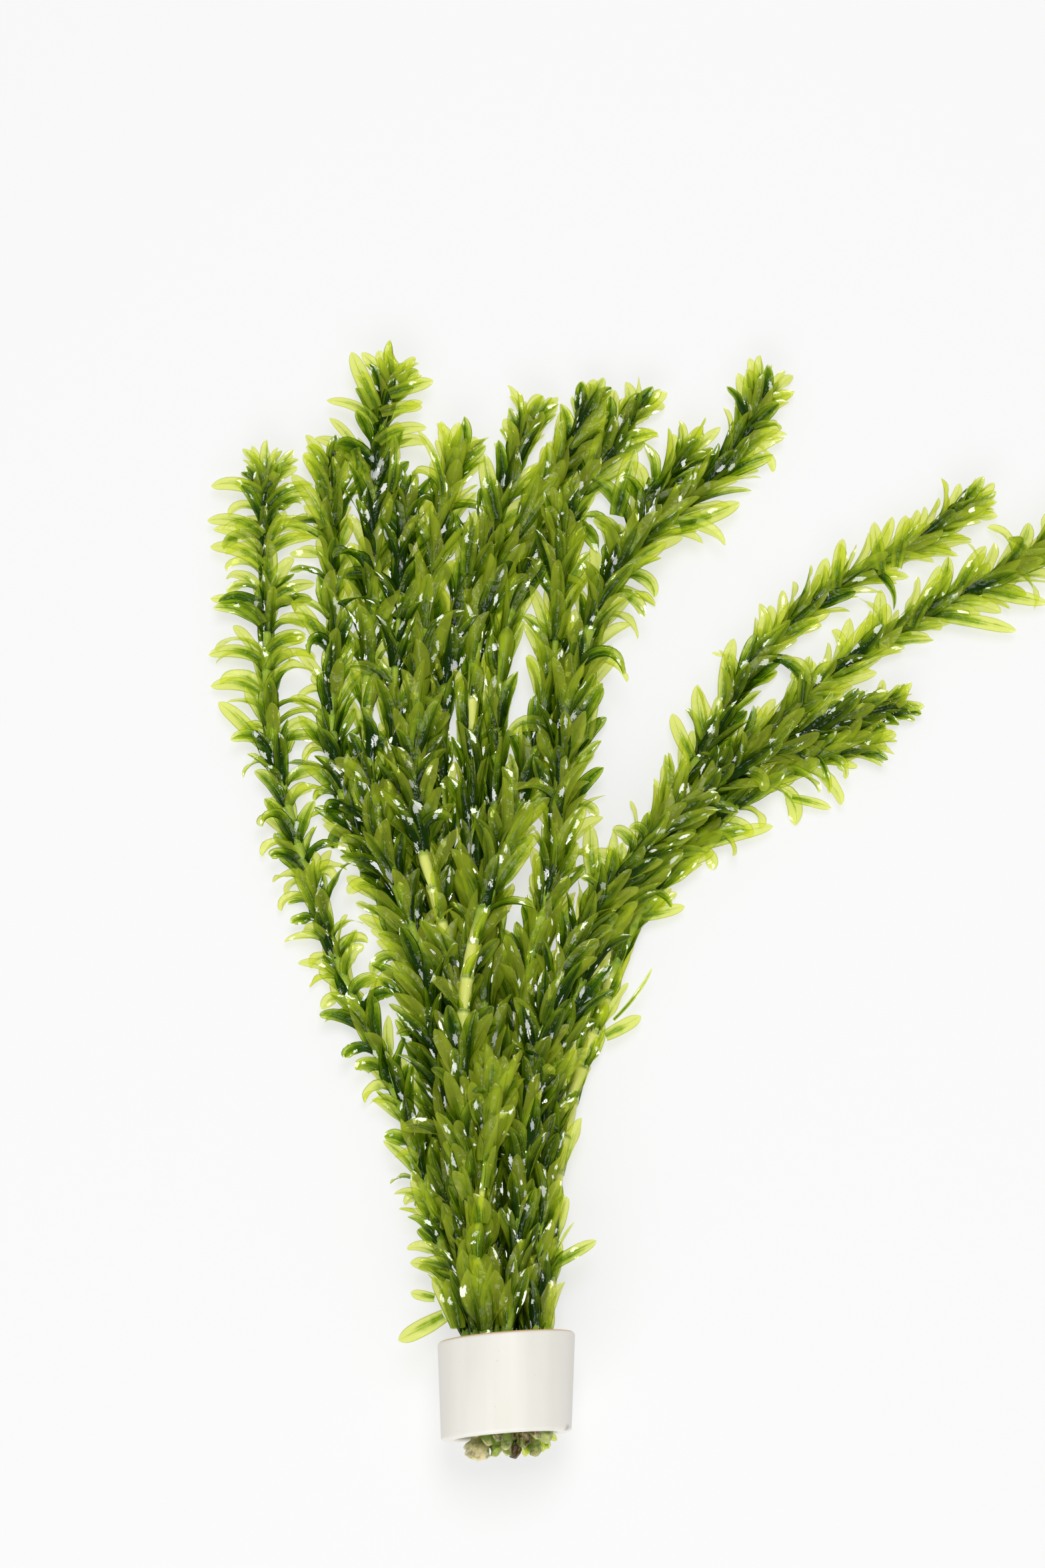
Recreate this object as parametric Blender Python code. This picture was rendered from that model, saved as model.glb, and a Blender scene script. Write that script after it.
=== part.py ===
"""A bunch of waterweed shoots in a ceramic ring, laid down on a surface.

Metres, +Z up. The origin is on the surface, under the middle of the ring. The shoots run along +Y.
Each shoot is one closed solid: a bent stem that flares into a star of leaf points at every whorl.
"""
import math
import random

import bpy
import numpy as np
from mathutils.bvhtree import BVHTree

MM = 0.001

# The ceramic ring, in millimetres: it lies on its side, its mouth towards the leaves.
RING_LENGTH = 22.0
RING_MOUTH_RADIUS = 15.3
RING_FOOT_RADIUS = 14.5
RING_WALL = 3.5
RING_EDGE = 0.5
RING_FACETS = 40
RING_SKEW = math.radians(4.5)
RING_COLOUR = (0.83, 0.80, 0.74)

# The shoots' common measures, in millimetres.
STEM_RADIUS = 1.4
STEM_SIDES = 8
SAMPLE_STEP = 4.0
RING_EXIT = 13.0
LOW_SPACING = 15.0
LOW_PART = 60.0
WHORL_RISE = 2.2
WHORL_SWELL = 1.25
LEAF_FLATNESS = 0.62
LEAF_GAP = 0.5
TIP_LENGTH = 12.0
CROWN_REACH = 8.0
LOWEST_STEM = 3.4
LEAF_COLOUR = (0.17, 0.30, 0.03)

# How the shoots settle: nearest distance between two stems at the ring and out in the open.
STEM_PITCH_AT_RING = 3.9
STEM_PITCH_OUTSIDE = 6.4
PITCH_GROWS_OVER = 55.0
SETTLE_ROUNDS = 260
BENDING_STARTS_OVER = 12.0
PUSH_APART = 0.3
SINK = 0.03
PULL_TO_ROUTE = 0.06
STRAIGHTEN = 0.35
LARGEST_MOVE = 0.8

# The leaves' reach along a shoot, and the crown's two stars: their places before the tip and sizes.
REACH_GROWS_FROM = 28.0
REACH_GROWS_OVER = 70.0
REACH_SHRINKS_OVER = 26.0
LEAST_REACH = 0.55
CROWN_NECK = 7.5
CROWN_BASE = 4.5
CROWN_LEAN = 4.0
CROWN_TOP = 0.62
TIP_POINT = 0.35

# How neighbouring solids are parted: the clearance kept, and how far a point is drawn in each round.
KEPT_CLEAR = 0.2
DRAW_IN = 0.82
PARTING_ROUNDS = 40

# Each shoot: its place in the ring's bore (x, z), its cut end's y, how far its leaves reach at the
# side and how far they lean forward, then the points of its route (x, y, z) from the ring to the tip.
SHOOTS = {
    "shoot_far_left": dict(
        slot=(-8.6, 15.2), cut=-9.5, reach=14.0, lean=3.0, spacing=9.0,
        route=[(-13, 29, 13), (-17, 41, 10), (-21, 59, 7), (-28, 75, 5), (-36, 90, 5), (-43, 109, 5),
               (-49, 127, 5), (-54, 145, 5), (-57, 162, 5), (-57, 182, 5), (-58, 204, 5), (-58, 220, 6)]),
    "shoot_left": dict(
        slot=(-6.45, 11.45), cut=-16.0, reach=10.5, lean=3.5, spacing=10.5,
        route=[(-12, 31, 9), (-15, 53, 6), (-17, 75, 5), (-21, 95, 5), (-26, 109, 5), (-33, 125, 5),
               (-39, 138, 5), (-42, 154, 5), (-41, 171, 5), (-42, 192, 5), (-42, 209, 5), (-42, 222, 6)]),
    "shoot_tallest": dict(
        slot=(-6.45, 18.95), cut=-11.5, reach=10.5, lean=4.0, spacing=11.0,
        route=[(-10, 29, 18), (-12, 51, 15), (-14, 73, 12), (-17, 92, 11), (-23, 108, 9), (-28, 123, 8),
               (-32, 136, 8), (-33, 153, 8), (-33, 173, 8), (-32, 195, 8), (-32, 213, 8), (-31, 229, 7),
               (-28, 244, 7)]),
    "shoot_under_tallest": dict(
        slot=(-4.3, 7.7), cut=-12.5, reach=9.0, lean=5.0, spacing=15.0,
        route=[(-9, 31, 6), (-10, 53, 5), (-12, 75, 5), (-15, 95, 5), (-19, 112, 5), (-24, 127, 4),
               (-26, 142, 4), (-27, 159, 4), (-26, 179, 4), (-25, 199, 4), (-24, 213, 5)]),
    "shoot_left_middle": dict(
        slot=(-4.3, 15.2), cut=-13.0, reach=8.5, lean=6.0, spacing=12.5,
        route=[(-7, 32, 14), (-8, 51, 14), (-9, 73, 14), (-11, 91, 14), (-14, 104, 13), (-18, 117, 12),
               (-22, 133, 10), (-22, 148, 9), (-20, 170, 8), (-19, 188, 8), (-17, 204, 8),
               (-14, 216, 7), (-12, 225, 7)]),
    "shoot_middle_low": dict(
        slot=(-2.15, 11.45), cut=-15.0, reach=8.5, lean=6.0, spacing=14.0,
        route=[(-5, 32, 10), (-6, 52, 8), (-7, 74, 8), (-9, 94, 7), (-12, 114, 6), (-15, 130, 5),
               (-16, 151, 5), (-15, 171, 5), (-12, 187, 5), (-6, 199, 6), (-2, 208, 7), (1, 218, 7),
               (3, 226, 7), (5, 233, 7)]),
    "shoot_middle_upper": dict(
        slot=(0.0, 15.2), cut=-14.0, reach=8.5, lean=8.0, spacing=12.0,
        route=[(-3, 31, 15), (-4, 51, 14), (-5, 73, 13), (-6, 96, 13), (-7, 115, 13), (-8, 133, 12),
               (-8, 154, 12), (-8, 173, 12), (-6, 188, 12), (0, 200, 12), (7, 211, 11), (12, 220, 9),
               (17, 229, 8), (20, 237, 8)]),
    "shoot_middle_under": dict(
        slot=(0.0, 7.7), cut=-14.5, reach=8.5, lean=8.0, spacing=14.0,
        route=[(-2, 33, 7), (-2, 53, 6), (-2, 74, 6), (-3, 98, 6), (-4, 117, 6), (-3, 135, 6),
               (-3, 154, 6), (-2, 172, 6), (1, 188, 7), (7, 201, 7), (15, 212, 7), (21, 220, 7),
               (26, 228, 7), (31, 236, 7)]),
    "shoot_yellow_stem": dict(
        slot=(-2.15, 18.95), cut=-12.5, reach=8.0, lean=7.0, spacing=12.0,
        route=[(-7, 31, 20), (-8, 50, 21), (-10, 71, 21), (-10, 90, 21), (-7, 105, 20), (-3, 118, 19),
               (1, 128, 18), (5, 143, 16), (8, 155, 14), (11, 169, 12), (12, 182, 10), (12, 195, 8),
               (14, 207, 7)]),
    "shoot_behind_bend": dict(
        slot=(2.15, 11.45), cut=-15.5, reach=8.0, lean=6.0, spacing=14.0,
        route=[(2, 32, 10), (2, 52, 10), (3, 74, 10), (6, 94, 11), (9, 111, 11), (12, 125, 10),
               (14, 140, 9), (15, 155, 8), (17, 170, 6), (21, 184, 5), (25, 196, 5), (31, 208, 5),
               (38, 218, 5), (43, 225, 6)]),
    "shoot_bend_right": dict(
        slot=(4.3, 15.2), cut=-13.5, reach=8.5, lean=7.0, spacing=11.5,
        route=[(4, 31, 15), (4, 51, 15), (3, 73, 15), (4, 93, 15), (8, 108, 15), (12, 126, 14),
               (12, 144, 13), (15, 162, 12), (19, 179, 11), (24, 191, 10), (31, 202, 9), (42, 211, 8),
               (51, 219, 8), (58, 229, 8), (61, 239, 8)]),
    "shoot_right_upper": dict(
        slot=(6.45, 11.45), cut=-15.0, reach=7.5, lean=8.0, spacing=11.0,
        route=[(7, 32, 10), (7, 52, 8), (9, 72, 6), (13, 89, 5), (19, 105, 4), (26, 117, 4),
               (33, 128, 4), (40, 139, 4), (46, 149, 4), (52, 162, 4), (59, 174, 4), (69, 184, 4),
               (79, 192, 4), (90, 198, 5), (101, 204, 5), (110, 211, 6)]),
    "shoot_right_longest": dict(
        slot=(6.45, 18.95), cut=-12.0, reach=8.0, lean=8.0, spacing=11.0,
        route=[(7, 31, 18), (8, 51, 16), (10, 71, 14), (15, 89, 12), (21, 105, 10), (28, 116, 9),
               (35, 126, 9), (44, 137, 9), (54, 149, 8), (66, 159, 7), (77, 170, 6), (89, 178, 5),
               (101, 186, 5), (114, 192, 5), (126, 198, 5), (133, 204, 6)]),
    "shoot_right_lower": dict(
        slot=(0.0, 22.7), cut=-11.0, reach=8.5, lean=7.0, spacing=12.0,
        route=[(3, 30, 23), (3, 50, 22), (6, 70, 21), (10, 87, 20), (16, 103, 18), (25, 117, 17),
               (35, 128, 16), (45, 138, 15), (56, 146, 12), (68, 153, 10), (80, 158, 8), (92, 162, 7)]),
    "shoot_right_under": dict(
        slot=(8.6, 15.2), cut=-12.5, reach=9.0, lean=5.0, spacing=11.0,
        route=[(10, 32, 14), (11, 52, 11), (16, 72, 8), (22, 88, 5), (26, 103, 4), (32, 114, 4),
               (40, 125, 4), (49, 134, 4), (60, 143, 4), (70, 148, 4), (79, 151, 5), (86, 154, 5)]),
    "shoot_short_front": dict(
        slot=(-4.3, 22.7), cut=-11.0, reach=6.0, lean=7.0, spacing=10.0,
        route=[(-7, 21, 24), (-7, 30, 25), (-6, 40, 26), (-5, 49, 26), (-4, 57, 26), (-3, 64, 27)]),
}
THICK_ENDED = "shoot_left"
BUTT_RADIUS = 2.9
BUTT_LENGTH = 3.5


def clear_scene():
    for item in list(bpy.data.objects):
        bpy.data.objects.remove(item, do_unlink=True)


def principled(name, colour, roughness):
    material = bpy.data.materials.new(name)
    material.use_nodes = True
    shader = material.node_tree.nodes["Principled BSDF"]
    shader.inputs["Base Color"].default_value = (*colour, 1.0)
    shader.inputs["Roughness"].default_value = roughness
    material.diffuse_color = (*colour, 1.0)
    return material


def add_object(name, vertices, faces, material):
    mesh = bpy.data.meshes.new(name)
    mesh.from_pydata([tuple(float(value) * MM for value in point) for point in vertices], [], faces)
    mesh.validate()
    mesh.materials.append(material)
    item = bpy.data.objects.new(name, mesh)
    bpy.context.scene.collection.objects.link(item)
    return item


def smooth_line(points, step):
    """Points every `step` along a Catmull-Rom curve through the given ones."""
    points = np.array(points, float)
    padded = np.vstack([2 * points[0] - points[1], points, 2 * points[-1] - points[-2]])
    fine = []
    for before, start, end, after in zip(padded, padded[1:], padded[2:], padded[3:]):
        for t in np.linspace(0.0, 1.0, 12, endpoint=False):
            fine.append(0.5 * (2 * start + (end - before) * t
                               + (2 * before - 5 * start + 4 * end - after) * t ** 2
                               + (3 * start - before - 3 * end + after) * t ** 3))
    fine.append(points[-1])
    return resample(np.array(fine), step)


def resample(line, step):
    lengths = np.concatenate([[0.0], np.cumsum(np.linalg.norm(np.diff(line, axis=0), axis=1))])
    places = np.linspace(0.0, lengths[-1], max(2, round(lengths[-1] / step) + 1))
    return np.column_stack([np.interp(places, lengths, line[:, axis]) for axis in range(3)])


def settle(shoots):
    """Centre lines that keep their distance from each other and sink towards the surface."""
    lines = []
    for shoot in shoots.values():
        x, z = shoot["slot"]
        in_ring = [(x, shoot["cut"], z), (x, 0.0, z), (x, RING_EXIT - 2.0, z)]
        lines.append(smooth_line(in_ring + shoot["route"], SAMPLE_STEP))
    sizes = [len(line) for line in lines]
    owner = np.repeat(np.arange(len(lines)), sizes)
    points = np.vstack(lines)
    traced = points.copy()
    free = np.clip((points[:, 1] - RING_EXIT) / BENDING_STARTS_OVER, 0.0, 1.0)
    grown = np.clip((points[:, 1] - RING_EXIT) / PITCH_GROWS_OVER, 0.0, 1.0)
    pitch = STEM_PITCH_AT_RING + (STEM_PITCH_OUTSIDE - STEM_PITCH_AT_RING) * grown
    others = owner[:, None] != owner[None, :]
    inner = np.ones(len(points), bool)
    inner[np.cumsum(sizes) - 1] = False
    inner[np.cumsum(sizes)[:-1]] = False
    inner[0] = False
    inside = np.where(inner)[0]
    for _ in range(SETTLE_ROUNDS):
        apart = points[:, None, :] - points[None, :, :]
        distance = np.sqrt((apart ** 2).sum(axis=2)) + 1e-9
        need = np.minimum(pitch[:, None], pitch[None, :])
        push = np.where(others & (distance < need), (need - distance) / distance * PUSH_APART, 0.0)
        move = (push[:, :, None] * apart).sum(axis=1)
        move[:, 2] -= SINK
        move[:, :2] = 0.5 * move[:, :2] + PULL_TO_ROUTE * (traced[:, :2] - points[:, :2])
        bend = np.zeros_like(points)
        bend[inside] = 0.5 * (points[inside - 1] + points[inside + 1]) - points[inside]
        move += STRAIGHTEN * bend
        points = points + free[:, None] * np.clip(move, -LARGEST_MOVE, LARGEST_MOVE)
        points[:, 2] = np.where(free > 0.0, np.maximum(points[:, 2], LOWEST_STEM), points[:, 2])
    return {name: points[owner == index] for index, name in enumerate(shoots)}


def frame_along(line):
    """Unit vectors along the line, to its side in the horizontal plane, and up from both."""
    ahead = np.gradient(line, axis=0)
    ahead /= np.linalg.norm(ahead, axis=1)[:, None]
    side = np.cross(ahead, (0.0, 0.0, 1.0))
    side /= np.linalg.norm(side, axis=1)[:, None]
    return ahead, side, np.cross(side, ahead)


def room_around(centre, tip, own, rest):
    """How much of the way from the centre to a leaf point stays on this shoot's side."""
    best = 0.0
    for share in np.linspace(0.1, 1.0, 19):
        point = centre + share * (tip - centre)
        to_own = np.sqrt(((own - point) ** 2).sum(axis=1)).min()
        to_rest = np.sqrt(((rest - point) ** 2).sum(axis=1)).min()
        if to_rest - to_own < 2.0 * LEAF_GAP:
            break
        best = share
    return best


def leaf_reach(along, length, reach):
    """Side reach of the leaves: short at the ring, full in the open, a little less at the tip."""
    opened = min(1.0, max(0.0, (along - REACH_GROWS_FROM) / REACH_GROWS_OVER))
    rounded = min(1.0, (length - along) / REACH_SHRINKS_OVER + LEAST_REACH)
    return reach * (0.5 + 0.5 * opened) * rounded


def shoot_rings(name, shoot, line, rest, rng):
    """The solid's cross-sections, each with its centre and its points."""
    dense = resample(line, 1.0)
    ahead, side, up = frame_along(dense)
    length = float(len(dense) - 1)
    turn = np.arange(STEM_SIDES) * -2.0 * math.pi / STEM_SIDES

    def stem_ring(along, radius):
        at = min(int(round(along)), len(dense) - 1)
        spokes = np.cos(turn)[:, None] * side[at] + np.sin(turn)[:, None] * up[at]
        return dense[at], dense[at] + radius * spokes

    def leaf_ring(along, reach, lean, first):
        at = min(int(round(along)), len(dense) - 1)
        centre = dense[at]
        points = []
        for index, angle in enumerate(turn):
            spoke = math.cos(angle) * side[at] + math.sin(angle) * up[at]
            if index % 2 != first:
                points.append(centre + WHORL_SWELL * STEM_RADIUS * spoke)
                continue
            angle += rng.uniform(-0.2, 0.2)
            far = reach * rng.uniform(0.86, 1.08)
            forward = lean * rng.uniform(0.8, 1.2)
            sideways = far * math.cos(angle) * side[at]
            upwards = LEAF_FLATNESS * far * math.sin(angle) * up[at]
            tip = centre + sideways + upwards + forward * ahead[at]
            tip = centre + room_around(centre, tip, line, rest) * (tip - centre)
            if np.linalg.norm(tip - centre) < WHORL_SWELL * STEM_RADIUS:
                tip = centre + WHORL_SWELL * STEM_RADIUS * spoke
            tip[2] = max(tip[2], 0.0)
            points.append(tip)
        return centre, np.array(points)

    exit_at = RING_EXIT - shoot["cut"] + 1.0
    rings = []
    if name == THICK_ENDED:
        rings.append(stem_ring(0.0, BUTT_RADIUS))
        rings.append(stem_ring(BUTT_LENGTH, BUTT_RADIUS))
        rings.append(stem_ring(BUTT_LENGTH + 2.0, STEM_RADIUS))
    else:
        rings.append(stem_ring(0.0, STEM_RADIUS))
    along = exit_at
    first = 0
    while along < length - TIP_LENGTH:
        reach = leaf_reach(along, length, shoot["reach"])
        lean = shoot["lean"] * min(1.0, 0.5 + (along - exit_at) / 60.0)
        rings.append(stem_ring(along, STEM_RADIUS))
        rings.append(leaf_ring(along + WHORL_RISE, reach, lean, first))
        first = 1 - first
        along += LOW_SPACING if along < exit_at + LOW_PART else shoot["spacing"]
    rings.append(stem_ring(length - CROWN_NECK, STEM_RADIUS))
    rings.append(leaf_ring(length - CROWN_BASE, CROWN_REACH, CROWN_LEAN, first))
    rings.append(leaf_ring(length, CROWN_TOP * CROWN_REACH, CROWN_LEAN, 1 - first))
    return rings


def shoot_mesh(rings):
    """Vertices and faces of the closed solid over the rings, with a flat cut end and a tip."""
    vertices = [point for _, points in rings for point in points]
    sides = STEM_SIDES
    faces = [list(range(sides))[::-1]]
    for ring in range(len(rings) - 1):
        low = ring * sides
        for index in range(sides):
            after = (index + 1) % sides
            a, b = low + index, low + after
            c, d = b + sides, a + sides
            faces.append([a, b, c])
            faces.append([a, c, d])
    top = (len(rings) - 1) * sides
    centre = rings[-1][0]
    mean = np.mean(rings[-1][1], axis=0)
    vertices.append(mean + TIP_POINT * (mean - centre))
    for index in range(sides):
        faces.append([top + index, top + (index + 1) % sides, len(vertices) - 1])
    return vertices, faces


def part_neighbours(all_rings):
    """Draws in the leaf points of shoots whose solids would touch."""
    for _ in range(PARTING_ROUNDS):
        trees = {}
        owners = {}
        for name, rings in all_rings.items():
            swollen = []
            for centre, points in rings:
                spokes = points - centre
                longer = 1.0 + KEPT_CLEAR / np.linalg.norm(spokes, axis=1)
                swollen.append((centre, centre + longer[:, None] * spokes))
            vertices, faces = shoot_mesh(swollen)
            trees[name] = BVHTree.FromPolygons([tuple(point) for point in vertices], faces)
            owners[name] = faces
        clean = True
        names = list(all_rings)
        for index, name in enumerate(names):
            for other in names[index + 1:]:
                hits = trees[name].overlap(trees[other])
                if not hits:
                    continue
                clean = False
                for which, column in ((name, 0), (other, 1)):
                    touched = {corner for hit in hits for corner in owners[which][hit[column]]}
                    draw_in(all_rings[which], touched)
        if clean:
            return


def draw_in(rings, touched):
    for corner in touched:
        ring, index = divmod(corner, STEM_SIDES)
        if ring >= len(rings):
            continue
        centre, points = rings[ring]
        spoke = points[index] - centre
        if np.linalg.norm(spoke) > 1.35 * STEM_RADIUS:
            points[index] = centre + DRAW_IN * spoke


def build_ring():
    """The tapered ceramic ring, turned from its wall's outline, one facet flat on the surface."""
    half = RING_LENGTH / 2.0
    foot, mouth, edge = RING_FOOT_RADIUS, RING_MOUTH_RADIUS, RING_EDGE
    outline = [(foot - edge, -half), (foot, -half + edge), (mouth, half - edge), (mouth - edge, half),
               (mouth - RING_WALL + edge, half), (mouth - RING_WALL, half - edge),
               (foot - RING_WALL, -half + edge), (foot - RING_WALL + edge, -half)]
    flat = math.cos(math.pi / RING_FACETS)
    rise = math.atan((mouth - foot) * flat / (RING_LENGTH - 2.0 * edge))
    vertices = []
    for step in range(RING_FACETS):
        angle = (step + 0.5) * 2.0 * math.pi / RING_FACETS - math.pi / 2.0
        for radius, along in outline:
            x = radius * math.cos(angle)
            z = radius * math.sin(angle)
            y = along * math.cos(rise) - z * math.sin(rise)
            z = along * math.sin(rise) + z * math.cos(rise)
            vertices.append([x, y + x * math.tan(RING_SKEW), z])
    lowest = min(vertex[2] for vertex in vertices)
    for vertex in vertices:
        vertex[2] -= lowest
    count = len(outline)
    faces = []
    for step in range(RING_FACETS):
        here = step * count
        there = ((step + 1) % RING_FACETS) * count
        for index in range(count):
            after = (index + 1) % count
            faces.append([here + index, here + after, there + after, there + index])
    return add_object("ceramic_ring", vertices, faces, principled("ceramic", RING_COLOUR, 0.35))


def build_shoots():
    lines = settle(SHOOTS)
    all_rings = {}
    for name, shoot in SHOOTS.items():
        rng = random.Random(name)
        rest = np.vstack([resample(line, 2.0) for other, line in lines.items() if other != name])
        all_rings[name] = shoot_rings(name, shoot, resample(lines[name], 2.0), rest, rng)
    part_neighbours(all_rings)
    for name, rings in all_rings.items():
        vertices, faces = shoot_mesh(rings)
        add_object(name, vertices, faces, principled(name + "_green", LEAF_COLOUR, 0.3))


clear_scene()
build_ring()
build_shoots()
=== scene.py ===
"""The waterweed bunch, dressed: wet translucent leaves, stems, cut ends, the ceramic ring, light and camera.

The shoots' routes are those of the part's solids, in millimetres, and every leaf grows from them.
"""
import math
import random
from types import SimpleNamespace

import bpy
import numpy as np
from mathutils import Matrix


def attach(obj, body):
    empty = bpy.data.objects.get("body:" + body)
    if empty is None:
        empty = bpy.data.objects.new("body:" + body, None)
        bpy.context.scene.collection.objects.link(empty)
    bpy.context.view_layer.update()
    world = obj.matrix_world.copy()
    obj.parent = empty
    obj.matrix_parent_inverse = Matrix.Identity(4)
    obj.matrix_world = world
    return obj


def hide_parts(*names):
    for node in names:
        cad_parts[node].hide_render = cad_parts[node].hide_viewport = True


MM = 0.001

# The picture: the camera stands on the ring's side and looks almost straight down.
PICTURE_HEIGHT = 2353
FOCAL_PIXELS = 5936.0
CAMERA_PLACE = (3.6, -103.0, 900.0)
CAMERA_TILT = math.radians(15.3)
SENSOR = 24.0
NEAREST_SEEN = 0.01

# The studio, in metres and watts. A softbox has a name, a place, the point it faces, a size and a power.
SOFTBOXES = (
    ("top_softbox", (0.06, 0.43, 1.1), (0.04, 0.12, 0.0), (0.46, 0.6), 6.5),
    ("front_softbox", (-0.12, -0.95, 0.7), (0.0, 0.05, 0.0), (1.2, 0.6), 8.5),
)
WHITE = (1.0, 1.0, 1.0, 1.0)
ROOM_LIGHT = 0.42
FLOOR_REACH = 3.0
FLOOR_GREY = (0.32, 0.32, 0.32, 1.0)
FLOOR_GLOW = 0.597

# The part's own measures, in millimetres, as the solids have them.
RING_LENGTH = 22.0
RING_MOUTH_RADIUS = 15.3
RING_FOOT_RADIUS = 14.5
RING_WALL = 3.5
RING_EDGE = 0.5
RING_FACETS = 40
RING_SKEW = math.radians(4.5)
CURVE_STEPS = 12
SAMPLE_STEP = 4.0
RING_EXIT = 13.0
LOWEST_STEM = 3.4
STEM_PITCH_AT_RING = 3.9
STEM_PITCH_OUTSIDE = 6.4
PITCH_GROWS_OVER = 55.0
SETTLE_ROUNDS = 260
BENDING_STARTS_OVER = 12.0
PUSH_APART = 0.3
SINK = 0.03
PULL_TO_ROUTE = 0.06
STRAIGHTEN = 0.35
LARGEST_MOVE = 0.8

# The ring's finer form: the rounding of its edges, its steps around and over an edge, and the waves
# of its wall, each with a depth, the number around and a phase.
EDGE_ROUNDING = 0.9
RING_SEGMENTS = 120
EDGE_POINTS = 6
WALL_WAVES = ((0.05, 2.0, 0.6), (0.03, 5.0, 0.0))

# The form of one leaf: its grid, its outline from base to tip, and its cup, crease and ripple.
LEAF_ROWS = 12
LEAF_COLUMNS = 7
ROWS_CROWD = 1.3
BASE_WIDTH = 0.76
WIDEST_AT = 0.42
TIP_CLOSES = 0.98
TIP_CLOSES_LATE = 3.4
TIP_ROUNDNESS = 0.64
LEVEL_FROM = 0.4
BASE_CUP = 0.65
CREASE_DEPTH = 0.3
CREASE_WIDTH = 0.25
RIPPLE_COUNT = 11.0

# How wet leaves lie: flat whorls, the room a shoot takes over another, and the surface.
WHORL_FLATNESS = 0.62
BUNDLE_RADIUS = 2.4
LAYER_HEIGHT = 2.0
LEAF_FLOOR = 0.12
FLOOR_SPREAD = 0.5
FLOOR_GIVE = 0.1
DEEPEST_GIVE = 1.0
LEAST_HEIGHT = 0.03

# Stems: steps, sides, and how they swell at a whorl and thin out towards the tip.
STEM_STEP = 0.75
STEM_SIDES = 12
KNOT_LENGTH = 0.55
KNOT_SWELL = 0.16
KNOTS_SWELL_OVER = 8.0
THIN_TIP = 0.45
THIN_TIP_LENGTH = 60.0
CAP_RINGS = ((0.02, 0.12), (0.5, 0.14), (0.88, 0.1))

# The cut end: its darker skin, its thick butt, how ragged and slanted it is, and its lumps, each with
# a height, the number around, the winding along the stem and the length over which it fades.
END_SKIN = 0.8
END_SKIN_FADES = (1.6, 5.0)
BUTT_LENGTH = 3.5
BUTT_NARROWS_OVER = 2.0
RAGGED_EVERYWHERE = 0.2
RAGGED_LENGTH = 7.0
SLANTED_LENGTH = 4.0
SLANT = 0.9
STEM_LUMPS = ((0.14, 2.0, 1.1, math.inf), (0.10, 3.0, -1.9, math.inf), (0.16, 5.0, 2.7, 5.0))
PLAIN_END = (0.5, 0.6)
END_FRESHENS_OVER = 12.0

# Whorls: their first place (y) and last distance from the tip, and how their gaps change.
DENSE_STEP = 0.5
NEAR_STEP = 2.0
FIRST_WHORL = 11.5
LAST_WHORL = 0.6
TIP_GAP = 0.3
GAP_GROWS_OVER = 40.0
BARE_GAP = 1.8
BARE_FADE = 3.0
WHORL_LEAVES = (5, 6, 6)
WHORL_TURN = 45.0
LOW_PART = 60.0
LOW_CLOSES = 0.6
YOUNG_PART = 26.0
GROWN_FROM = 18.0
CROWN_PART = 9.0

# Chances that a leaf is missing: anywhere, more at the side or over the stem, and on a bare stretch.
# Over the stem and on a bare stretch's upper side start at these sines of the leaf's angle.
MISSING = 0.03
MISSING_AT_SIDE = 0.09
MISSING_ON_TOP = 0.25
MISSING_ON_BARE = 0.5
ON_TOP_FROM = 0.3
SHEATH_FROM = -0.1

# Ramps, each with its start and its length: how far a leaf points sideways, by the cosine of its angle,
# and how far it stands in the open, by how near another stem is to the point this far out.
OUTER = (0.45, 0.4)
OPEN = (3.2, 6.0)
LOOKED_OUT = 8.0

# Shares of a shoot's opening angles: for leaves over the stem, crowded ones and those of the crown.
INNER_START = 0.3
CROWN_START = 0.6
INNER_END = 0.28
CROWDED_END = 0.62
CROWN_CLOSES = 0.4
STRAY_ANGLE = 38.0
STRAY_FROM = 0.82

# Even draws, from least to most. Angles are in degrees and sizes are shares.
ANY_SPIN = (0.0, 90.0)
WHORL_STRAYS = (-8.0, 8.0)
LEAF_STRAYS = (-16.0, 16.0)
START_STRAYS = (-6.0, 8.0)
END_STRAYS = (-9.0, 13.0)
HUG_STRAYS = (0.8, 1.25)
SIZE = (0.8, 1.1)
WIDTH = (0.86, 1.12)
STRONG_SWEEP = (0.6, 1.2)
CUP = (0.0, 0.6)
DEEP_CUP = (0.5, 0.95)
LIE = (0.15, 0.85)
RIPPLE = (0.05, 0.42)
ANY_PHASE = (0.0, 6.3)

# Curled leaves, which are smaller low down, and sheaths, the small leaves on a bare stretch.
CURLED = dict(start=(26.0, 50.0), end=(95.0, 170.0), hug=(0.9, 1.5), size=(0.75, 1.15), lie=(0.2, 0.85))
CURLED_LOW = dict(CURLED, size=(0.55, 0.85))
CURLED_LOW_BELOW = 140.0
CROWDED_CURLS = 0.2
TOO_TIGHT_TO_CURL = 0.5
SHEATH = dict(start=(0.0, 6.0), end=(0.0, 16.0), size=(0.45, 0.9), tone=(0.05, 0.45))

# How bent and twisted a leaf is, how often it is deeply cupped, and how wide it is.
SWEEP_SPREAD = 0.3
PLAIN_SWEEPS = 0.9
DEEPLY_CUPPED = 0.2
INNER_CUPPED = 0.5
TWIST_SPREAD = 1.0
OUTER_TWISTS_LESS = 0.3
INNER_LIE = 0.5
CROWN_WIDTH = 0.78
INNER_WIDTH = 1.02
OUTER_NARROWS = 0.12
ON_SKIN = 0.95

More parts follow.
